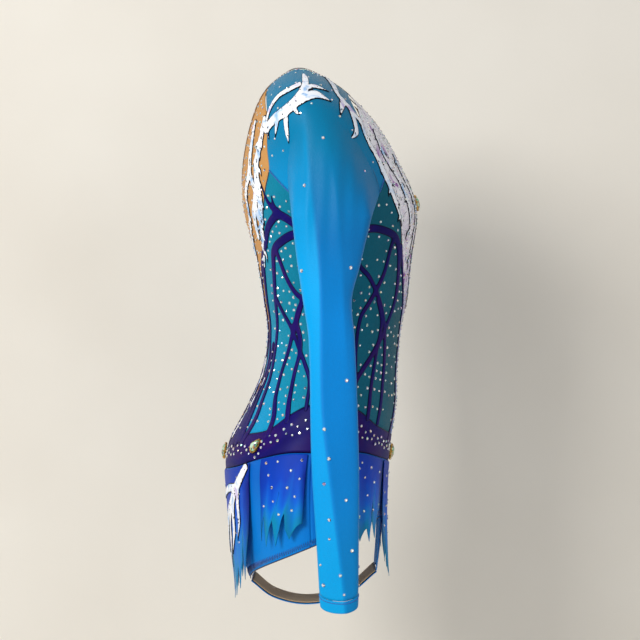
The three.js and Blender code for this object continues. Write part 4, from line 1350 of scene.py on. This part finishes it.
def stone_template():
    """A flat-back stone of radius 1: girdle, crown facets and a table, as points and faces."""
    ring = [(math.cos(k * math.pi / 4), math.sin(k * math.pi / 4)) for k in range(8)]
    points = [(x, y, 0.0) for x, y in ring] + [(x * 0.98, y * 0.98, 0.22) for x, y in ring]
    points += [(x * 0.55, y * 0.55, 0.62) for x, y in ring]
    faces = [list(range(7, -1, -1)), list(range(16, 24))]
    for low in (0, 8):
        faces += [[low + k, low + (k + 1) % 8, low + 8 + (k + 1) % 8, low + 8 + k] for k in range(8)]
    return np.array(points), faces


STONE_POINTS, STONE_FACES = stone_template()


def make_stones(name, places, normals, sizes, body, side=1, seed=1, blend=None):
    """Joined flat-back crystals at places in mm, standing along their normals."""
    picker = np.random.default_rng(seed)
    places, normals = np.asarray(places, float), np.asarray(normals, float)
    count = len(places)
    helper = np.where(np.abs(normals[:, 2:3]) > 0.9, [[1.0, 0, 0]], [[0, 0, 1.0]])
    u = np.cross(normals, helper)
    u /= np.linalg.norm(u, axis=1, keepdims=True)
    v = np.cross(normals, u)
    spin = picker.uniform(0, math.pi, count)[:, None]
    right = np.cos(spin) * u + np.sin(spin) * v
    up = np.cross(normals, right)
    radius = (np.asarray(sizes) / 2)[:, None, None]
    shape = STONE_POINTS[None]
    points = places[:, None] + radius * (
        shape[..., :1] * right[:, None] + shape[..., 1:2] * up[:, None] + shape[..., 2:] * normals[:, None]
    )
    faces = [[i * len(STONE_POINTS) + k for k in face] for i in range(count) for face in STONE_FACES]
    own = picker.uniform(0, 1, count)
    # Each facet's tint is partly the coating's colour and partly a painted reflection.
    glint = (own[:, None] * 0.35 + picker.uniform(0, 1, (count, len(STONE_FACES))) * 0.8) % 1.0
    # On seven stones in ten the table facet is painted white, a painted highlight.
    glint[:, 1] = np.where(picker.uniform(0, 1, count) < 0.7, 0.55, glint[:, 1])
    piece = make_piece(
        name, points, faces, crystal, smooth=False, side=side, facets=glint,
    )
    if blend:
        bend_at_shoulder(piece)
    else:
        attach(piece, body)
    return piece


class Scatter:
    """Keeps the flat places of crystals apart from one another."""

    def __init__(self, gap):
        self.gap = gap
        self.flat = []

    def fits(self, x, y, gap):
        return all(math.hypot(x - a, y - b) >= gap for a, b in self.flat)

    def add(self, x, y, gap=None):
        if self.fits(x, y, gap or self.gap):
            self.flat.append((x, y))
            return True
        return False


def beside_strokes(strokes, scatter, offset, spacing, clear=1.8):
    """Places rows of crystals on both sides of each stroke, off every stroke."""
    for widths, points in strokes:
        line = smooth_path(points)[0]
        way = np.concatenate([[0], np.cumsum(np.linalg.norm(np.diff(line, axis=0), axis=1))])
        stops = np.arange(spacing / 2, way[-1], spacing)
        stops = stops + 0.25 * spacing * np.sin(stops * 1.7 + len(points))
        x, y = np.interp(stops, way, line[:, 0]), np.interp(stops, way, line[:, 1])
        along = np.stack([np.gradient(x), np.gradient(y)])
        along /= np.maximum(np.hypot(*along), 1e-9)
        half = np.interp(stops / way[-1], np.linspace(0, 1, len(widths)), widths) / 2
        for turn in (1, -1):
            px = x - along[1] * turn * (half + offset)
            py = y + along[0] * turn * (half + offset)
            field = stroke_field(strokes, px, py)
            for k in np.nonzero(field > clear)[0]:
                scatter.add(float(px[k]), float(py[k]))


def on_cloth(flat, lift):
    angle = np.degrees(np.array([p[0] for p in flat]) / MEAN_RADIUS)
    level = np.array([p[1] for p in flat])
    return lifted(angle, level, lift), body_normal(angle, level), angle, level


def side_crystal_places():
    """Rows beside the lattice, then single stones in the open net between them."""
    scatter = Scatter(7.0)
    beside_strokes(BACK_LATTICE, scatter, 3.4, 9.0)
    beside_strokes(FRONT_LATTICE, scatter, 3.4, 9.0)
    picker = np.random.default_rng(17)
    x, y = picker.uniform(flat_x(24), flat_x(146), 900), picker.uniform(-345, -135, 900)
    clear = np.minimum(stroke_field(BACK_LATTICE, x, y), stroke_field(FRONT_LATTICE, x, y)) > 3
    for px, py in zip(x[clear], y[clear]):
        scatter.add(float(px), float(py), 10)
    return scatter.flat


def build_body_crystals():
    places, normals, angle, level = on_cloth(side_crystal_places(), CLOTH_OUTSIDE)
    on_net = (angle > front_seam(level) + 1.5) & (angle < back_seam(level) - 1.5)
    on_net &= (level < raglan_edge(angle, -ARMHOLE_DIP) - 3) & (level > band_top(angle) + 3)
    sizes = np.random.default_rng(4).choice([2.6, 3.0, 3.4], len(places))
    kept = places[on_net], normals[on_net], sizes[on_net]
    for word, side in SIDES:
        make_stones(f"{word}_side_crystals", *kept, "garment", side, 21)


def random_flat(count, low, high, gap, seed, keep=None):
    """Flat places at random between two corners, given as (angle, level), and kept apart."""
    picker = random.Random(seed)
    scatter = Scatter(gap)
    for _ in range(count * 6):
        angle, level = picker.uniform(low[0], high[0]), picker.uniform(low[1], high[1])
        if keep is None or keep(angle, level):
            scatter.add(float(flat_x(angle)), level)
        if len(scatter.flat) >= count:
            break
    return scatter.flat


HIP_GEM = (131, -391)
ALL_TRIM = (
    BACK_BRANCH, LOW_BACK_BRANCH, FRONT_BRANCH, SHOULDER_BRANCH, NECK_BRANCH, BACK_STREAKS, BACK_LATTICE,
)


def build_trim_crystals():
    for word, side in SIDES:
        front = random_flat(
            330, (0.5, -378), (46, -48), 5.4, 51,
            lambda a, z: a < front_seam(z) - 1 and vee_edge(a) - 3 > z > band_top(a) + 3,
        )
        insert = random_flat(
            60, (0.5, -92), (25, -24), 6, 52,
            lambda a, z: vee_edge(a) + 2 < z < neckline(a) - 3,
        )
        back = random_flat(
            260, (129, -384), (179.5, -20), 6.0, 53,
            lambda a, z: a > back_seam(z) + 2 and band_top(a) + 3 < z < neckline(a) - 12,
        )
        cap = random_flat(
            46, (46, -100), (140, 2), 15, 54,
            lambda a, z: (
                raglan_edge(a, ARMHOLE_ARCH) + 4 < z < neckline(a) - 3
                and front_seam(z) + 2 < a < back_seam(z) - 2
            ),
        )
        edge = [(float(flat_x(a)), float(neckline(a)) - 3.2) for a in np.arange(28, 180, 4.2)]
        flat = front + insert + back + cap + edge
        places, normals, angle, level = on_cloth(flat, CLOTH_OUTSIDE)
        tall = np.zeros(len(flat))
        for strokes in ALL_TRIM:
            field = stroke_field(strokes, flat_x(angle), level)
            tall = np.where(field < 0.5, 0.85, tall)
        places = places + normals * tall[:, None]
        sizes = np.random.default_rng(8).choice([2.2, 2.6, 3.0], len(flat))
        make_stones(f"{word}_trim_crystals", places, normals, sizes, "garment", side, 31)
        places, normals, _, _ = on_cloth(band_crystal_places(), CLOTH_OUTSIDE + 0.45)
        sizes = np.random.default_rng(6).choice([2.6, 3.1, 3.5], len(places))
        make_stones(f"{word}_band_crystals", places, normals, sizes, "garment", side, 41)


def band_crystal_places():
    """Two rows along the hip band, open for the hip gem, and an arc of stones round the gem."""
    flat = []
    for row, rise in enumerate((0.36, 0.56)):
        for a in np.arange(2.5 + row * 2, 178, 4.6):
            level = float(mix(band_top(a), band_bottom(a), rise + 0.06 * math.sin(a * 0.5)))
            flat.append((float(flat_x(a)), level))
    gem_x, gem_level = float(flat_x(HIP_GEM[0])), HIP_GEM[1]
    flat = [(x, z) for x, z in flat if math.hypot(x - gem_x, z - gem_level) > 11 and x > 14]
    turns = [k * 0.62 for k in (4, 5, 6, 7, 9)]
    return flat + [(gem_x + 10.5 * math.cos(turn), gem_level + 10.5 * math.sin(turn)) for turn in turns]


def build_sleeve_crystals():
    """Crystals over the sleeve, closer together towards the cuff."""
    for word, side in SIDES:
        grid = sleeve_tube(CLOTH_OUTSIDE)
        across = np.roll(grid, -1, axis=1) - np.roll(grid, 1, axis=1)
        down = np.gradient(grid, axis=0)
        normals = np.cross(across, down)
        normals /= np.maximum(np.linalg.norm(normals, axis=-1, keepdims=True), 1e-9)
        picker = random.Random(77)
        chosen = []
        for _ in range(1500):
            i, j = picker.randrange(6, grid.shape[0] - 2), picker.randrange(SLEEVE_SIDES)
            here = grid[i, j]
            gap = np.interp(-here[2], [60, 300, 420, 560], [52, 38, 22, 15])
            if all(np.linalg.norm(here - grid[a, b]) > gap for a, b in chosen):
                chosen.append((i, j))
        places = np.array([grid[i, j] for i, j in chosen])
        outward = np.array([normals[i, j] for i, j in chosen])
        centre = np.stack([sleeve_x(places[:, 2]), sleeve_y(places[:, 2]), places[:, 2]], axis=-1)
        flip = np.sign(np.sum(outward * (places - centre), axis=1, keepdims=True))
        sizes = np.random.default_rng(9).choice([2.8, 3.4, 3.8], len(places))
        outward = outward * np.where(flip == 0, 1, flip)
        make_stones(f"{word}_sleeve_crystals", places, outward, sizes, None, side, 61, blend=word)


def build_petal_crystals():
    for word, side in SIDES:
        for kind, (start, end, length, _, lean, _, seed) in PETALS.items():
            picker = random.Random(seed + 40)
            spots = []
            for _ in range(200):
                s, t = picker.uniform(0.08, 0.92), picker.uniform(0.06, 0.72)
                if all(math.hypot((s - a) * 60, (t - b) * length) > 15 for a, b in spots):
                    spots.append((s, t))
            s, t = np.array(spots).T
            angle = mix(start, end, s)
            reach = length * (1 - 0.3 * np.abs(s - lean) ** 1.3) * 0.92
            level = band_bottom(angle) - PETAL_TOP_GAP - t * reach
            places = lifted(angle, level, petal_lift(kind, angle, level) + 0.45)
            sizes = np.random.default_rng(seed).choice([2.6, 3.0, 3.4], len(places))
            name = f"{word}_{kind}_petal"
            normals = body_normal(angle, level)
            make_stones(f"{name}_crystals", places, normals, sizes, f"{name}_body", side, seed)


# ---------- Large crystals in gold settings ----------

GEM_LENGTH, GEM_WIDTH, GEM_HEIGHT = 15.0, 10.0, 4.0
SETTING_DEPTH, GEM_SEAT = 2.2, 0.9
GEM_LIFT = 1.9
SIDE_GEM_LIFT = 1.6
SIDE_GEM_SPIN = -42


def teardrop_ring(length, width, count=24):
    """Points round a teardrop whose round end is about the origin and whose point is at +Y."""
    turn = np.arange(count) / count * 2 * math.pi
    radius = width / 2
    x = radius * np.sin(turn)
    y = -radius * np.cos(turn)
    upper = y > 0
    share = np.where(upper, y / radius, 0)
    x = np.where(upper, np.sign(x) * radius * (1 - share) ** 0.62 * (1 + 0.12 * share), x)
    y = np.where(upper, share * (length - radius), y)
    return np.stack([x, y], axis=-1)


def stack_rings(rings, first=0):
    """Faces between closed rings of equal count, with both ends closed."""
    count = len(rings[0])
    faces = grid_faces(len(rings), count, first, wrap=True).tolist()
    faces.append([first + k for k in reversed(range(count))])
    faces.append([first + (len(rings) - 1) * count + k for k in range(count)])
    return faces


def seat_frame(angle, level, spin, lift):
    """The origin and the axes of a gem: its width, its length and its height off the cloth."""
    out = body_normal(angle, level)
    right = np.cross([0, 0, 1.0], out)
    right /= np.linalg.norm(right)
    up = np.cross(out, right)
    turn = math.radians(spin)
    across = math.cos(turn) * right + math.sin(turn) * up
    along = -math.sin(turn) * right + math.cos(turn) * up
    return lifted(angle, level, lift), across, along, out


def put(rings, seat):
    origin, across, along, out = seat
    points = [origin + x * across + y * along + z * out for ring, z in rings for x, y in ring]
    return np.array(points)


def build_gem(name, angle, level, spin, lift=GEM_LIFT, seed=1):
    seat = seat_frame(float(angle), float(level), spin, lift)
    picker = np.random.default_rng(seed)
    middle = np.array([0, GEM_LENGTH / 2 - GEM_WIDTH / 2])

    def shrunk(share):
        ring = teardrop_ring(GEM_LENGTH, GEM_WIDTH, 16)
        return middle + (ring - middle) * share
    rings = [(shrunk(0.9), GEM_SEAT), (shrunk(1.0), GEM_SEAT + 1.0), (shrunk(0.98), GEM_SEAT + 1.6),
             (shrunk(0.8), GEM_SEAT + 3.0), (shrunk(0.52), GEM_SEAT + GEM_HEIGHT)]
    faces = stack_rings([ring for ring, _ in rings])
    # Each facet's colour is a painted reflection on the sea-green glass.
    facets = picker.uniform(0, 1, len(faces))
    stone = make_piece(f"{name}_stone", put(rings, seat), faces, gem_glass, smooth=False, facets=facets)
    stand_for(stone, [f"{name}_gem"], "garment")
    grown = teardrop_ring(GEM_LENGTH + 3.0, GEM_WIDTH + 3.0, 32)
    seat_hole = teardrop_ring(GEM_LENGTH + 0.7, GEM_WIDTH + 0.7, 32)
    cup = [(grown * 0.92, 0.0), (grown, 0.5), (grown, SETTING_DEPTH - 0.4), (grown * 0.97, SETTING_DEPTH),
           (seat_hole, SETTING_DEPTH - 0.1), (seat_hole, 0.6)]
    points = put(cup, seat)
    faces = stack_rings([ring for ring, _ in cup])
    parts, all_faces, count = [points], faces, len(points)
    for x, y, turn in prong_places():
        prong, prong_faces = prong_mesh(x, y, turn, seat)
        all_faces += [[k + count for k in face] for face in prong_faces]
        parts.append(prong)
        count += len(prong)
    setting = make_piece(f"{name}_claws", np.concatenate(parts), all_faces, gold, smooth=False)
    stand_for(setting, [f"{name}_setting"], "garment")


def prong_places():
    ring = teardrop_ring(GEM_LENGTH + 2.2, GEM_WIDTH + 2.2, 32)
    for k in (3, 9, 16, 23, 29):
        x, y = ring[k]
        yield x, y, math.atan2(y - 2.5, x)


def prong_mesh(x, y, turn, seat):
    """A claw that rises from the cup's wall and bends over the stone's edge."""
    inward = np.array([-math.cos(turn), -math.sin(turn)])
    wide = np.array([-inward[1], inward[0]])
    spine = ((0.0, 0.4, 0.9), (0.0, 2.4, 0.85), (0.9, 3.3, 0.7), (2.0, 3.7, 0.45))
    rings = []
    for reach, rise, half in spine:
        centre = np.array([x, y]) + inward * reach
        corners = [centre + wide * half, centre - wide * half]
        low = np.array([*corners, corners[1] - inward * 0.55, corners[0] - inward * 0.55])
        rings.append((low, rise))
    return put(rings, seat), stack_rings([ring for ring, _ in rings])


def build_gems():
    build_gem("bust", 0, -128, 180, seed=2)
    build_gem("front_hip", 0, -400, 180, seed=3)
    build_gem("back_hip", 180, -405, 0, seed=4)
    for word, side in SIDES:
        build_gem(f"{word}_hip", side * HIP_GEM[0], HIP_GEM[1], side * SIDE_GEM_SPIN, SIDE_GEM_LIFT, seed=6)


# ---------- Studio ----------

def build_studio():
    wall_x, floor_z, bend = 0.40, -1.05, 0.35
    profile = [(wall_x, 1.3), (wall_x, floor_z + bend)]
    for k in range(1, 13):
        turn = k / 12 * math.pi / 2
        profile.append((wall_x - bend * (1 - math.cos(turn)), floor_z + bend * (1 - math.sin(turn))))
    profile.append((-4.0, floor_z))
    points = [(x, y, z) for x, z in profile for y in (-3.0, 3.0)]
    faces = [[2 * k, 2 * k + 1, 2 * k + 3, 2 * k + 2] for k in range(len(profile) - 1)]
    mesh = bpy.data.meshes.new("studio_sweep")
    mesh.from_pydata(points, [], faces)
    mesh.shade_smooth()
    sweep = bpy.data.objects.new("studio_sweep", mesh)
    bpy.context.collection.objects.link(sweep)
    material, tree = new_material("studio_paper")
    paper = ramp(tree, noise(tree, 2.5), (0.3, paint(226, 220, 209)), (0.7, paint(234, 229, 219)))
    finish_material(tree, paper, 0.9, bump(tree, noise(tree, 240, 4.0), 0.0004, 0.3))
    mesh.materials.append(material)


def add_light(name, place_at, aim, size, power, colour):
    light = bpy.data.lights.new(name, "AREA")
    light.size, light.energy, light.color = size, power, colour
    lamp = bpy.data.objects.new(name, light)
    lamp.location = place_at
    lamp.rotation_euler = (Vector(aim) - Vector(place_at)).to_track_quat("-Z", "Y").to_euler()
    bpy.context.collection.objects.link(lamp)


def build_lights_and_camera():
    add_light("key", (-1.5, 1.0, 0.35), (0, 0, -0.28), 0.7, 26, (1.0, 0.99, 0.97))
    add_light("fill", (-1.6, -1.5, -0.1), (0, 0, -0.3), 1.6, 6, (0.94, 0.97, 1.0))
    world = bpy.data.worlds.new("studio_air")
    world.use_nodes = True
    world.node_tree.nodes["Background"].inputs["Color"].default_value = (0.86, 0.88, 0.92, 1)
    world.node_tree.nodes["Background"].inputs["Strength"].default_value = 0.55
    scene = bpy.context.scene
    scene.world = world
    scene.view_settings.view_transform = "Standard"
    camera = bpy.data.cameras.new("camera")
    camera.lens, camera.sensor_width = 92, 36
    view = bpy.data.objects.new("camera", camera)
    view.location = (-1.8, -0.002, -0.2585)
    view.rotation_euler = (math.pi / 2, 0, -math.pi / 2)
    bpy.context.collection.objects.link(view)
    scene.camera = view


# ---------- The whole garment ----------

build_lights_and_camera()
build_studio()
build_front()
build_sides_and_back()
build_hips()
build_gusset()
build_appliques()
build_sleeves()
build_threads()
build_elastics()
build_petals()
build_body_crystals()
build_trim_crystals()
build_sleeve_crystals()
build_petal_crystals()
build_gems()
